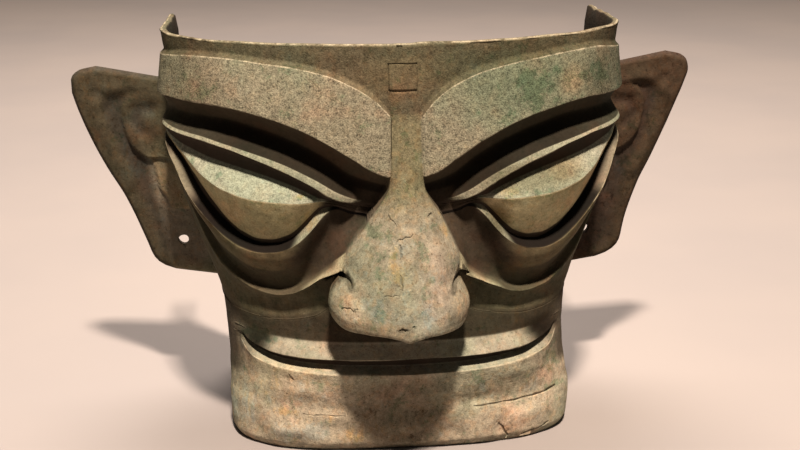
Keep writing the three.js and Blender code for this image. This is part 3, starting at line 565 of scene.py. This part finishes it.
def outer_surface():
    """The carved face and side walls: points, finish shares and how worn each point is."""
    height, relief, radius, steps, strip_finish, on_nose = carved_rows()
    knots = wall_points(TURNS[None, :], height, relief)
    all_along = Curve(0, 1, 2, 1)
    wear = np.array([WEAR.get(line, all_along)(np.abs(TURNS)) for line, _ in strip_finish])
    grid, strips, sharpness = swept_rows(knots, radius, steps, wear)
    nose_rows = np.flatnonzero(on_nose[strips])
    lip_strip = np.flatnonzero(on_nose)[-1]
    even_nose(grid, nose_rows[0], np.flatnonzero(strips == lip_strip)[0] - 3)
    sway(grid, TURNS)
    t = np.abs(TURNS)[None, :, None]
    rows = np.array(len(TURNS) * [[finish_of(name) for _, name in strip_finish]]).swapaxes(0, 1)
    for changed, name, comes, goes in CHANGES:
        here = [number for number, (strip, _) in enumerate(strip_finish) if strip in changed]
        rows[here] = mix(rows[here], finish_of(name), between(t[0], *comes, *goes))
    finish = rows[strips]
    z = grid[..., 2:]
    on_nose = on_nose[strips][:, None, None] * (1 - step_up(t, NOSE_TURN - 0.008, NOSE_TURN + 0.004))
    nose = mix(finish_of("nose"), finish_of("bridge"), step_up(z, 150, 175))
    nose = mix(nose, finish_of("band"), step_up(z, 205, 225))
    finish = mix(finish, nose, on_nose)
    further = 0.12 * between(z, 30, 50, 70, 100) + 0.13 * between(z, 38, 50, 80, 95)
    finish = mix(finish, finish_of("side"), step_up(t, 0.86 - further, 1.02 - further))
    worn = np.clip(sharpness, 0, 1)
    return grid, weathered(grid, np.concatenate([softened(finish, 1), softened(worn, 1)[..., None]], axis=2))


# ---- the inside of the casting, and its edges ----
INNER_ROWS = 28
INSIDE_REACH = 7            # over what distance the inside evens out the carving
KEPT_CLEAR = 8              # over what distance it stays behind the deepest carving
RIM_ROUND = 1.1
BASE_ROUND = 0.8
PINCH_TURN = 1.98
SKIN_WAVES = ((0.28, 55, 1), (0.12, 19, 2), (0.06, 7, 3))   # height, length and seed of each
RIM_DIPS = ((1.72, 0.05, 1.5), (1.9, 0.04, 0.8), (-1.6, 0.05, 1.2))   # turn, width and depth of each


def inner_surface(outer):
    """The inside, from the base up: it follows the carving loosely, a wall's thickness behind it."""
    half = len(TURNS) // 2
    sample = outer[::3, half::2]
    turn = np.broadcast_to(TURNS[half::2], sample.shape[:2])
    plain = wall_points(turn, sample[..., 2], 0)
    way = wall_points(turn, sample[..., 2], 1) - plain
    relief = ((sample - plain) * way).sum(axis=2).ravel()
    plain = plain.reshape(-1, 3)
    levels = np.linspace(BASE_ROUND, HEIGHT - RIM_ROUND, INNER_ROWS)[:, None]
    depth = []
    for line in wall_points(HALF_TURNS[None, :], levels, 0):
        gap = np.linalg.norm(line[:, None] - plain[None], axis=2)
        near = bump_at(gap, INSIDE_REACH) + 1e-9
        mean = (near * relief).sum(axis=1) / near.sum(axis=1)
        low = np.where(gap < KEPT_CLEAR, relief, 99).min(axis=1)
        depth.append(np.minimum(mean - WALL, low - THINNEST_WALL))
    depth = softened(np.array(depth), 2)
    inner = wall_points(TURNS[None, :], levels, np.concatenate([depth[:, :0:-1], depth], axis=1))
    sway(inner, TURNS)
    return inner


def edge_rows(first, last, rise):
    """Rows over the edge of the wall, from one of its faces to the other. Rise is how far they stand up."""
    rows = []
    for share in (0.1, 0.28, 0.5, 0.72, 0.9):
        row = mix(first, last, share)
        row[:, 2] += rise * math.sin(math.pi * share) ** 0.6
        rows.append(row)
    return rows


def uneven(points):
    """How far the lumps and hollows of the skin stand out from it."""
    rise = np.zeros(points.shape[:-1])
    for *place, amount in LUMPS:
        rise += LUMP_HEIGHT * amount * spot(points, *place)
    return rise


def casting():
    """The wall as a ring of rows, down the outside and up the inside, and the finish shares of its points."""
    outer, finish = outer_surface()
    inner = inner_surface(outer)
    waves = sum(height * ripple(outer, length, seed) for height, length, seed in SKIN_WAVES)
    outer += outward(outer) * (waves + uneven(outer))[..., None]
    inner += outward(inner) * 0.3 * ripple(inner, 25, 4)[..., None]
    round_turn = np.stack([TURNS * 120, 0 * TURNS, 0 * TURNS], axis=1)
    lift = RIM_RISE * outer[0, :, 0] / HALF_WIDTH(HEIGHT) - 0.4 + 0.3 * ripple(round_turn, 22, 5)
    lift -= sum(depth * bump_at(TURNS - turn, width) for turn, width, depth in RIM_DIPS)
    for face in (outer, inner):
        face[..., 2] += step_up(face[..., 2], 225, HEIGHT) * lift
    outer[..., 2] -= step_up(outer[..., 2], HEIGHT - 4, HEIGHT) * RIM_ROUND
    rows = [*outer, *edge_rows(outer[-1], inner[0], -BASE_ROUND), *inner]
    rows += edge_rows(inner[-1], outer[0], RIM_ROUND)
    grid = np.array(rows)
    grid[..., 1] = np.minimum(grid[..., 1], BACK)
    grid[..., 2] = np.clip(grid[..., 2], 0, HEIGHT + RIM_RISE)
    middle = HALF_WIDTH(grid[..., 2]) - WALL / 2
    pinch = np.clip((np.abs(TURNS) - PINCH_TURN) / (2 - PINCH_TURN), 0, 1)
    narrowed = middle + (np.abs(grid[..., 0]) - middle) * (1 - 0.5 * (1 - np.sqrt(1 - pinch ** 2)))
    grid[..., 0] = np.where(pinch > 0, np.sign(grid[..., 0]) * narrowed, grid[..., 0])
    grid[..., 0] += jaw_move(grid[..., 0], grid[..., 2])
    inside = np.zeros((len(grid) - len(outer), len(TURNS), LAYERS))
    inside[..., :OF_FINISH] = finish_of("inside")
    inside[-4:, :, :OF_FINISH] = finish_of("rim")
    inside[-2:, :, WORN] = 0.6
    return grid, np.concatenate([finish, inside]), len(outer)


def casting_mesh():
    grid, finish, outer_rows = casting()
    rows, columns = grid.shape[:2]
    number = np.arange(rows * columns).reshape(rows, columns)
    faces = quads(np.concatenate([number, number[:1]])).tolist()
    for column, turned in ((0, False), (columns - 1, True)):
        faces += back_edge(grid[:, column], number[:, column], outer_rows + 2, turned)
    return grid.reshape(-1, 3), faces, finish.reshape(-1, LAYERS)


def back_edge(points, numbers, split, turned):
    """Triangles across the back edge of a side wall, between the outer rows and the inner ones."""
    outer = list(range(split))
    inner = list(range(len(points) - 1, split - 1, -1))
    faces = []
    i = j = 0
    while i + 1 < len(outer) or j + 1 < len(inner):
        step_outer = j + 1 == len(inner) or (
            i + 1 < len(outer) and points[outer[i + 1]][2] >= points[inner[j + 1]][2])
        if step_outer:
            face = (outer[i], inner[j], outer[i + 1])
            i += 1
        else:
            face = (outer[i], inner[j], inner[j + 1])
            j += 1
        faces.append([int(numbers[n]) for n in (face[::-1] if turned else face)])
    return faces


# ---- the ears ----
EAR_PLANE = 118
EAR_THICKNESS = 5
EAR_LEAN = 0.08
EAR_REACH = 207.6           # no part of an ear is further out than this
EAR_EDGE_ROUND = 2.4
EAR_ROOT_Z = Curve(0, 76, 1, 214)
EAR_EDGE_X = Curve(0, 146, 0.04, 156, 0.09, 161.3, 0.16, 164.8, 0.37, 176.5, 0.5, 186, 0.62, 194, 0.76, 201.5,
                   0.85, 205.5, 0.91, 207.4, 0.95, 206, 0.98, 201, 1, 190)
EAR_EDGE_Z = Curve(0, 81, 0.04, 85, 0.09, 91, 0.16, 101, 0.37, 134, 0.5, 153, 0.62, 171, 0.76, 190, 0.85, 202,
                   0.91, 210, 0.95, 215.8, 0.98, 220.2, 1, 222.8)
LOBE_LIMIT = Curve(158, 155, 161, 160, 166, 167, 172, 171.5, 182, 174.5, 194, 175.5, 202, 172.5, 206, 166,
                   209, 155)
TAB_LIMIT = Curve(126, 147, 135, 149, 139, 153, 146, 154.5, 160, 157.5)
EAR_ARC = [(150, 205), (159, 208), (170, 211), (183, 208), (192, 197), (189, 180), (181, 165), (172, 146)]
LOBE_RECESS = [(156, 195), (165, 194), (167, 186), (163, 179)]
EAR_SHARES = spread([(0, 0.03, 4), (0.03, 0.34, 12), (0.34, 0.4, 6), (0.4, 0.57, 9), (0.57, 0.64, 8),
                     (0.64, 0.9, 18), (0.9, 0.98, 7), (0.98, 1, 4)])
BORDER_RELIEF = 1.8
# How much painted light brightens each ear low down near its root, where the body's cast shadow falls on it, and
# the tint of the whole ear.
EAR_PAINTED_LIGHT_AND_TINT = {-1: (2.5, (1, 1, 1)), 1: (0.2, (0.9, 0.72, 0.72))}


def ear_relief(x, z, share, from_edge, arc):
    """How far the front of an ear stands out: its border, its arc, its inner lobe and the tab below that."""
    border_width = mix(7, 17, share)
    border = BORDER_RELIEF * between(from_edge, 0.3, 3, border_width - 5, border_width + 5)
    lobe = step_up(LOBE_LIMIT(z) - x, -0.8, 0.8) * between(z, 160, 161.8, 208, 211)
    recess = 2.2 * bump_at(from_path(x, z, *LOBE_RECESS), 4.5)
    tab = step_up(TAB_LIMIT(z) - x, -0.7, 0.7) * between(z, 125.4, 126.6, 159, 162)
    tab_height = mix(3, 1.2, np.clip((z - 126) / 34, 0, 1))
    ridge = arc * bump_at(from_path(x, z, *EAR_ARC), 4.2)
    carved = np.maximum(lobe * (2.8 - recess), tab * tab_height)
    return np.maximum(border, carved) + ridge * (1 - lobe) * (1 - tab)


def ear_mesh(side, arc):
    """One ear: a plate in the plane of the face, from its root in the side wall to its outer edge."""
    share = EAR_SHARES[::-1, None]
    out = np.concatenate([np.linspace(0, 0.93, 38), [0.95, 0.965, 0.978, 0.988, 0.995, 1]])[None, :]
    root_z = EAR_ROOT_Z(share)
    root_x = HALF_WIDTH(root_z) - 2
    root_x = root_x + side * jaw_move(side * root_x, root_z)
    edge_x, edge_z = EAR_EDGE_X(share), EAR_EDGE_Z(share)
    if side > 0:
        edge_x = edge_x + 3 * bump_at(edge_z - 92, 14)
        root_z, edge_z = (z + 4.5 * step_up(z, 120, 222) for z in (root_z, edge_z))
    edge_x = np.minimum(edge_x - 2.2 * side * bump_at(edge_z - 170, 45), EAR_REACH)
    x, z = mix(root_x, edge_x, out), mix(root_z, edge_z, out)
    outline = [(x[0, 0], z[0, 0]), *zip(edge_x[:, 0], edge_z[:, 0]), (x[-1, 0], z[-1, 0])]
    from_edge = from_path(x, z, *outline)
    round_off = np.sqrt(1 - (1 - np.clip(from_edge / EAR_EDGE_ROUND, 0, 1)) ** 2)
    middle = EAR_PLANE + EAR_LEAN * (x - root_x)
    relief = ear_relief(x, z, share, from_edge, arc)
    place = np.stack([side * x, middle, z], axis=-1)
    waves = 0.25 * ripple(place, 40, 11) + 0.12 * ripple(place, 13, 12)
    front = middle - (EAR_THICKNESS / 2 + waves) * round_off - relief
    back = middle + (EAR_THICKNESS / 2 + waves) * round_off + 0.4 * softened(relief, 6)
    grid = np.stack([np.stack([side * x, face, z], axis=-1) for face in (front, back)])
    rows, columns = x.shape
    number = np.arange(grid[..., 0].size).reshape(2, rows, columns)
    faces = []
    for face, flip in ((0, False), (1, True)):
        sheet = quads(number[face])
        faces += (sheet[:, ::-1] if flip else sheet).tolist()
    rim = np.concatenate([number[:, 0, :-1], number[:, :-1, -1], number[:, -1, :0:-1], number[:, :0:-1, 0]], axis=1)
    following = np.roll(rim, -1, axis=1)
    faces += np.stack([rim[0], following[0], following[1], rim[1]], axis=-1).tolist()
    if side < 0:
        faces = [face[::-1] for face in faces]
    hollow = np.clip(1 - relief / BORDER_RELIEF, 0, 1)[..., None]
    finish = mix(finish_of("ear"), finish_of("ear hollow"), hollow)
    # Painted light: the lower part of each ear near its root, which lies in the body's cast shadow, is made
    # brighter.
    in_body_shadow = step_up(155 + 0.17 * (z - 100) - x, 0, 9) * (1 - step_up(z, 150, 175))
    painted_light, tint = EAR_PAINTED_LIGHT_AND_TINT[side]
    finish[..., :3] *= (1 + painted_light * in_body_shadow[..., None]) * np.array(tint)
    finish = np.stack([finish, np.broadcast_to(finish_of("inside"), finish.shape)])
    finish = np.concatenate([finish, 0 * finish[..., :1]], axis=-1)
    return grid.reshape(-1, 3), faces, weathered(grid, finish).reshape(-1, LAYERS)


# ---- grooves, cracks and pits, seen from the front: (x, z, radius) along each ----
GROOVES = [
    # the hooks over the nostril wings
    [(-46, 113.5, 1), (-42.5, 116.8, 2), (-39.2, 119.8, 2.2), (-36.2, 121.3, 1.9), (-34, 120.8, 1.5),
     (-32.8, 119.2, 1.1), (-32.2, 117.2, 0.5)],
    [(42, 112.5, 1), (38.5, 115.8, 2.2), (35.2, 118.4, 2.4), (32, 119.8, 2.1), (29.3, 118.9, 1.8),
     (27.9, 116.9, 1.4), (27.2, 114.4, 0.6)],
    # the square scribed on the forehead
    [(-8.8, 243, 0.3), (-3, 243.2, 0.4), (3, 242.9, 0.35), (7.8, 243, 0.3)],
    [(-8.6, 243.2, 0.4), (-8.5, 236, 0.45), (-8.3, 227.8, 0.3)],
    [(-8.6, 227.8, 0.4), (-1, 227.4, 0.5), (7.9, 227.7, 0.35)],
    [(7.6, 243, 0.2), (7.9, 235, 0.15), (7.7, 227.5, 0.2)],
    # cracks on the nose and pits at its tip
    [(-38, 104.5, 0.2), (-36.4, 106, 0.3), (-34.8, 105.9, 0.35), (-33.4, 106.6, 0.3), (-31.2, 104.9, 0.3),
     (-30.6, 106.4, 0.25), (-29.4, 107.2, 0.2)],
    [(-4.2, 143.5, 0.15), (-3.6, 141.6, 0.4), (-4, 139.6, 0.3), (-3.5, 137.6, 0.4), (-4.4, 135.5, 0.15)],
    [(-4.4, 128, 0.15), (-3.8, 126, 0.25), (-4.1, 123.6, 0.2), (-3.4, 121.6, 0.3), (-4.1, 119.5, 0.15)],
    [(-6, 97.4, 0.3), (-4, 98.2, 0.8), (-2.6, 97.6, 0.9), (-1.6, 98.4, 0.3)],
    [(1.7, 99.2, 0.2), (2.4, 99.3, 0.7), (3, 99.1, 0.2)],
    [(12.9, 156.8, 0.2), (14.2, 157.4, 0.8), (15.4, 158, 0.3)],
    [(-10, 158.5, 0.15), (-9.3, 156.6, 0.25), (-7.6, 155.7, 0.3), (-6.2, 154.2, 0.2), (-5.4, 152.8, 0.15)],
    [(-14, 116.3, 0.1), (-12, 117, 0.18), (-9.4, 116.5, 0.12), (-7.6, 117.2, 0.18), (-5.8, 116.9, 0.1)],
    [(-6, 145, 0.2), (-4.5, 146.2, 0.4), (-2.6, 146.3, 0.3), (-0.6, 147.6, 0.4), (1.6, 147.4, 0.3),
     (3.4, 149, 0.2)],
    # the crack along the chin, crisp on one side and faint on the other, and those below it
    [(44, 27.6, 0.15), (49, 27.2, 0.35), (53, 27.7, 0.25), (58, 27.9, 0.4), (64, 28.6, 0.3), (70.8, 28.3, 0.45),
     (77, 29.2, 0.35), (82.5, 29, 0.5), (90.7, 29.4, 0.55), (99.4, 30.7, 0.3)],
    [(-62, 25.8, 0.15), (-55, 25.2, 0.25), (-48, 25.5, 0.2), (-42, 24.7, 0.3), (-36, 24.9, 0.15)],
    [(60.5, 13.5, 0.3), (63, 11, 0.7), (64.5, 7.5, 0.8), (67, 4.5, 0.4)],
    [(76, 3.5, 0.3), (82, 5, 0.7), (88, 5.2, 0.5), (95, 8, 0.3)],
    [(-70, 53, 0.2), (-68.6, 51, 0.6), (-67, 49.5, 0.2)],
]


# ---- the casting as one body ----
SHARES = ("grain", "mottle", "sheen", "worn", *PATCHES)
TUBE_SIDES = 12
BEFORE_FACE = 100


def placed(name, data):
    """A new object in the scene."""
    made = bpy.data.objects.new(name, data)
    bpy.context.scene.collection.objects.link(made)
    return made


def body(name, points, faces):
    """A mesh object of points in the carving's millimetres, put in its place in the frame."""
    mesh = bpy.data.meshes.new(name)
    mesh.from_pydata(((points - (0, ORIGIN_Y, 0)) * MM).tolist(), [], faces)
    return placed(name, mesh)


def lobe_hole(side):
    """The tool that pierces an ear lobe: a round rod along Y, a little uneven."""
    middle_x, middle_z, radius, sides, reach = side * 139 - 1, 103, 3.5, 40, 15
    angle = np.linspace(0, 2 * math.pi, sides, endpoint=False)
    radius = radius + 0.15 * np.sin(3 * angle + side)
    x, z = middle_x + radius * np.cos(angle), middle_z + radius * np.sin(angle)
    ends = [np.stack([x, 0 * x + y, z], axis=1) for y in (EAR_PLANE - reach, EAR_PLANE + reach)]
    number = list(range(sides))
    faces = [number, [sides + n for n in number[::-1]]]
    faces += [[n, n + sides, (n + 1) % sides + sides, (n + 1) % sides] for n in number]
    return body("lobe hole", np.concatenate(ends), faces)


def tube(path):
    """A closed round tube along a path of (x, y, z, radius), to cut a groove with."""
    place = np.linspace(0, len(path) - 1, 5 * (len(path) - 1) + 1)
    *middle, radius = (Curve(*enumerate(column))(place) for column in zip(*path))
    middle = np.stack(middle, axis=1)
    way = np.gradient(middle, axis=0)
    way /= np.linalg.norm(way, axis=1, keepdims=True)
    aside = np.cross(way, (0, 1, 0.3))
    aside /= np.linalg.norm(aside, axis=1, keepdims=True)
    up = np.cross(way, aside)
    angle = np.linspace(0, 2 * math.pi, TUBE_SIDES, endpoint=False)[None, :, None]
    rings = middle[:, None] + radius[:, None, None] * (np.cos(angle) * aside[:, None] + np.sin(angle) * up[:, None])
    number = np.arange(len(place) * TUBE_SIDES).reshape(-1, TUBE_SIDES)
    ahead = np.roll(number, -1, axis=1)
    faces = np.stack([number[:-1], ahead[:-1], ahead[1:], number[1:]], axis=-1).reshape(-1, 4).tolist()
    faces += [number[0, ::-1].tolist(), number[-1].tolist()]
    return body("groove", rings.reshape(-1, 3), faces)


def carve(made, tree):
    """Cuts the grooves, cracks and pits, whose paths are seen from the front: (x, z, radius)."""
    for path in GROOVES:
        on_skin = [(x, tree.ray_cast((x, -BEFORE_FACE, z), (0, 1, 0))[0].y, z, radius) for x, z, radius in path]
        combine(made, tube(on_skin), "DIFFERENCE")


def painted_groove_shade(points):
    """Painted shade: a factor for the tone of each point at the front, less than 1 in a groove, crack or pit, and 1
    away from them.
    """
    shade = np.ones(len(points))
    for path in GROOVES:
        widest = max(radius for _, _, radius in path)
        near = from_path(points[:, 0], points[:, 2], *[(x, z) for x, z, _ in path])
        darkest = 0.9 - 0.45 * min(widest, 1)
        shade = np.minimum(shade, mix(darkest, 1, step_up(near, 0.6 * widest, 1.1 * widest)))
    return shade


def combine(made, tool, operation):
    """Join or cut one body with another, and leave the tool out."""
    cut = made.modifiers.new(operation, "BOOLEAN")
    cut.operation = operation
    cut.solver = "MANIFOLD"
    cut.object = tool
    with bpy.context.temp_override(object=made):
        bpy.ops.object.modifier_apply(modifier=cut.name)
    bpy.data.objects.remove(tool)


def mask():
    """The casting: the wall and its ears in one body, with the finish shares on its points."""
    sources = [casting_mesh(), ear_mesh(-1, 1.2), ear_mesh(1, 2.2)]
    made = body("bronze_mask", *sources[0][:2])
    for side, source in zip((-1, 1), sources[1:]):
        ear = body("ear", *source[:2])
        combine(ear, lobe_hole(side), "DIFFERENCE")
        combine(made, ear, "UNION")
    carve(made, BVHTree.FromPolygons(sources[0][0].tolist(), sources[0][1]))
    points = np.concatenate([source[0] for source in sources]) - (0, ORIGIN_Y, 0)
    shares = np.concatenate([source[2] for source in sources])
    tree = kdtree.KDTree(len(points))
    for number, point in enumerate(points):
        tree.insert(point * MM, number)
    tree.balance()
    nearest = [tree.find(vertex.co)[1] for vertex in made.data.vertices]
    shares = shares[nearest].astype(np.float32)
    place = np.array([vertex.co for vertex in made.data.vertices]) / MM + (0, ORIGIN_Y, 0)
    at_front = np.array([vertex.normal.y for vertex in made.data.vertices]) < 0.2
    # Painted shade in the grooves, cracks and pits, on the outer face only.
    shares[:, :3] *= np.where(at_front, painted_groove_shade(place), 1)[:, None]
    tone = made.data.attributes.new("tone", "FLOAT_COLOR", "POINT")
    tone.data.foreach_set("color", np.insert(shares[:, :3], 3, 1, axis=1).ravel())
    for name, column in zip(SHARES, shares[:, 3:].T):
        layer = made.data.attributes.new(name, "FLOAT", "POINT")
        layer.data.foreach_set("value", column)
    made.data.shade_smooth()
    made.data.materials.clear()
    return made


made = mask()
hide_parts("mask")
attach(made, "root")


# ---- finishes ----
class Value:
    """A socket of a finish's nodes, used in sums like a number."""

    def __init__(self, finish, socket):
        self.finish = finish
        self.socket = socket

    def sum_of(self, operation, *parts):
        return self.finish.node("ShaderNodeMath", {"operation": operation}, dict(enumerate(parts)))

    def __add__(self, other):
        return self.sum_of("ADD", self, other)

    def __sub__(self, other):
        return self.sum_of("SUBTRACT", self, other)

    def __rsub__(self, other):
        return self.sum_of("SUBTRACT", other, self)

    def __mul__(self, other):
        return self.sum_of("MULTIPLY", self, other)

    __radd__ = __add__

    def over(self, start, end):
        """0 below start, 1 above end, and smooth between them."""
        return self.finish.node("ShaderNodeMapRange", {"interpolation_type": "SMOOTHSTEP"},
                                {"Value": self, "From Min": start, "From Max": end})

    def most(self, other):
        return self.sum_of("MAXIMUM", self, other)

    def least(self, other):
        return self.sum_of("MINIMUM", self, other)


class Finish:
    """A material in the making."""

    def __init__(self, name):
        self.material = bpy.data.materials.new(name)
        self.material.use_nodes = True
        self.tree = self.material.node_tree
        self.tree.nodes.clear()

    def node(self, kind, settings=None, sockets=None, output=0):
        """A node of a kind: its settings come first, then the values or links of its sockets."""
        made = self.tree.nodes.new(kind)
        for name, value in (settings or {}).items():
            setattr(made, name, value)
        for name, value in (sockets or {}).items():
            socket = made.inputs[name]
            if isinstance(value, Value):
                self.tree.links.new(value.socket, socket)
            else:
                socket.default_value = (*value, 1) if socket.type == "RGBA" else value
        return Value(self, made.outputs[output])

    def share(self, name):
        """One of the finish shares that the casting's points hold."""
        return self.node("ShaderNodeAttribute", {"attribute_name": name}, output="Fac")

    def place(self, stretch):
        """The place on the object in millimetres, squeezed along its axes if asked."""
        place = self.node("ShaderNodeTexCoord", output="Object")
        scale = tuple(1000 * part for part in stretch)
        return self.node("ShaderNodeVectorMath", {"operation": "MULTIPLY"}, {0: place, 1: scale})

    def noise(self, size, seed, detail=3, roughness=0.55, stretch=(1, 1, 1)):
        """Cloudy noise of a size in millimetres, from 0 to 1."""
        return self.node("ShaderNodeTexNoise", {"noise_dimensions": "4D"},
                         {"Vector": self.place(stretch), "W": 7.3 * seed, "Scale": 1 / size, "Detail": detail,
                          "Roughness": roughness})

    def colour(self, first, second, factor, blend="MIX"):
        """One colour passing into another."""
        return self.node("ShaderNodeMix", {"data_type": "RGBA", "blend_type": blend},
                         {0: factor, 6: first, 7: second}, output=2)

    def tinted(self, colour, tint, factor):
        """A colour multiplied by a tint, as far as the factor says."""
        return self.colour(colour, tint, factor, "MULTIPLY")

    def shaded(self, colour, factor):
        """A colour made darker or lighter by a factor."""
        return self.tinted(colour, self.node("ShaderNodeCombineColor", None, dict.fromkeys(range(3), factor)), 1.0)

    def surface(self, **sockets):
        """The finished material. A socket's name in the node is written with spaces and capitals."""
        named = {name.replace("_", " ").title().replace("Ior", "IOR"): value for name, value in sockets.items()}
        shader = self.node("ShaderNodeBsdfPrincipled", None, named)
        last = self.tree.nodes.new("ShaderNodeOutputMaterial")
        self.tree.links.new(shader.socket, last.inputs["Surface"])
        return self.material


# Each kind of corrosion: its tint, and the size, seed, least level and stretch of the noise that it follows.
CRUSTS = {
    "green": ((0.5, 0.66, 0.58), 9, 8, 0.55, (1, 1, 1)),
    "ochre": ((1.14, 0.95, 0.66), 11, 7, 0.6, (1, 1, 0.5)),
    "ash": ((0.94, 1.1, 1.26), 11, 6, 0.56, (1, 1, 0.6)),
    "stain": ((0.36, 0.32, 0.29), 6, 9, 0.61, (1, 1, 1)),
}


def aged_bronze():
    """Cast bronze long in the ground: coarse pale plates, smooth dark hollows, mottled skin and worn edges. The
    tone it reads holds some painted shade and painted light as well.
    """
    finish = Finish("aged bronze")
    tone = finish.node("ShaderNodeAttribute", {"attribute_name": "tone"}, output="Color")
    grain, mottle, sheen, worn = (finish.share(name) for name in SHARES[:4])
    fine = finish.noise(0.8, 1, 1, 0.6)
    fleck = finish.noise(1.7, 12, 2, 0.6)
    tone_wave = finish.noise(4, 13, 3, 0.6)
    streak = finish.noise(5, 14, 4, 0.7, (1, 1, 0.3))
    grit = finish.noise(2.2, 2, 2, 0.7)
    blotch = finish.noise(7, 3, 4, 0.65)
    cloud = finish.noise(22, 4, 4, 0.6)
    drift = finish.noise(55, 5, 3, 0.55)

    cooler, warmer = (0.86, 0.98, 0.96), (1.2, 0.97, 0.92)
    colour = finish.tinted(tone, cooler, drift.over(0.45, 0.6) * 0.9)
    colour = finish.tinted(colour, warmer, cloud.over(0.5, 0.68) * 0.7)
    for kind, (tint, size, seed, start, stretch) in CRUSTS.items():
        patch = finish.share(kind)
        share = (grain + mottle).least(1) if kind == "green" else mottle
        cover = finish.noise(size, seed, 5, 0.72, stretch) + patch * 0.2 + (grit - 0.5) * 0.12
        cover = cover.over(start, start + 0.13)
        colour = finish.tinted(colour, tint, cover * share.most(patch.least(1)) * 0.8)
    for tint, cover, strength in (
            ((1.12, 0.96, 0.84), tone_wave.over(0.5, 0.62), 0.6),
            ((0.76, 0.78, 0.74), streak.over(0.53, 0.64), 0.9),
            ((0.5, 0.47, 0.44), (1 - fleck).over(0.61, 0.68), 0.8),
            ((1.45, 1.42, 1.4), fleck.over(0.61, 0.68), 0.7)):
        colour = finish.tinted(colour, tint, cover * mottle * strength)
    bare_metal = (0.3, 0.265, 0.19)
    rubbed = worn.over(0.15, 0.7) * blotch.over(0.35, 0.6)
    colour = finish.colour(colour, bare_metal, rubbed * 0.6)
    speck = (fine - 0.5) * 2.1 * grain + (grit - 0.5) * 1.6 * (grain + 0.2) + (blotch - 0.5) * 1.1 * (mottle + 0.15)
    colour = finish.shaded(colour, 1 + speck)

    rough = 0.8 + grain * 0.1 - sheen * 0.15 + (blotch - 0.5) * 0.15
    height = (fine * 0.24 + grit * 0.34) * (0.2 + grain) + blotch * 0.4
    relief = finish.node("ShaderNodeBump", None, {"Strength": 1.0, "Distance": 0.001, "Height": height}, "Normal")
    return finish.surface(base_color=colour, roughness=rough, metallic=sheen * 0.3, specular_ior_level=0.04,
                          normal=relief)


def pale_floor():
    finish = Finish("pale floor")
    tint = finish.colour((0.2, 0.185, 0.18), (0.22, 0.2, 0.19), finish.noise(300, 9).over(0.3, 0.7))
    return finish.surface(base_color=tint, roughness=0.6)


made.data.materials.append(aged_bronze())


# ---- floor, light and camera ----
def look_along(made, place, forward, up):
    """Put an object at a place, looking along a direction."""
    right = np.cross(forward, up)
    turned = Matrix(np.stack([right, up, -forward], axis=1).tolist()).to_4x4()
    made.matrix_world = Matrix.Translation(place) @ turned


PHOTO_WIDTH = 800
PHOTO_FOCUS = 1200          # the photo's focal length, in its pixels
HORIZON_ABOVE = 388         # how far its horizon is above its middle, in pixels
AHEAD_ASIDE = 112           # how far the mask's own straight ahead is beside its middle, in pixels
CAMERA_HEIGHT, CAMERA_AWAY, CAMERA_ASIDE = 365, 673, 2
SENSOR_WIDTH = 36


def photo_camera():
    """The photograph's view: a little above the mask, a little left of its middle."""
    pitch = math.atan(HORIZON_ABOVE / PHOTO_FOCUS)
    heading = math.atan(AHEAD_ASIDE * math.cos(pitch) / PHOTO_FOCUS)
    ahead = np.array([math.sin(heading), math.cos(heading), 0])
    aside = np.array([math.cos(heading), -math.sin(heading), 0])
    place = np.array([0, -ORIGIN_Y, CAMERA_HEIGHT]) - ahead * CAMERA_AWAY - aside * CAMERA_ASIDE
    forward = ahead * math.cos(pitch) - np.array([0, 0, math.sin(pitch)])
    up = ahead * math.sin(pitch) + np.array([0, 0, math.cos(pitch)])
    camera = placed("camera", bpy.data.cameras.new("camera"))
    camera.data.sensor_width = SENSOR_WIDTH
    camera.data.lens = SENSOR_WIDTH * PHOTO_FOCUS / PHOTO_WIDTH
    look_along(camera, place * MM, forward, up)
    bpy.context.scene.camera = camera


def lamp(name, azimuth, elevation, distance, size, power, colour):
    """A square soft light that looks at the mask. Azimuth 0 is in front of it, 90 at its +X side."""
    azimuth, elevation = math.radians(azimuth), math.radians(elevation)
    away = np.array([math.sin(azimuth) * math.cos(elevation), -math.cos(azimuth) * math.cos(elevation),
                     math.sin(elevation)])
    light = bpy.data.lights.new(name, "AREA")
    light.size = size
    light.energy = power
    light.color = colour
    aside = np.array([math.cos(azimuth), math.sin(azimuth), 0])
    middle = (0, 0, 0.12)
    look_along(placed(name, light), middle + away * distance, -away, np.cross(aside, -away))


def sky(colour, strength):
    world = bpy.data.worlds.new("studio")
    bpy.context.scene.world = world
    world.use_nodes = True
    background = world.node_tree.nodes["Background"]
    background.inputs["Color"].default_value = (*colour, 1)
    background.inputs["Strength"].default_value = strength


def floor():
    mesh = bpy.data.meshes.new("floor")
    mesh.from_pydata([(-4, -3, 0), (4, -3, 0), (4, 6, 0), (-4, 6, 0)], [], [(0, 1, 2, 3)])
    made = placed("floor", mesh)
    mesh.materials.append(pale_floor())


photo_camera()
lamp("key", 2, 66.5, 3.2, 0.24, 352, (1, 0.82, 0.68))
lamp("back", 180, 58, 1.8, 1.2, 55, (1, 0.85, 0.75))
sky((1, 0.85, 0.75), 0.1)
floor()
bpy.context.scene.view_settings.view_transform = "Standard"
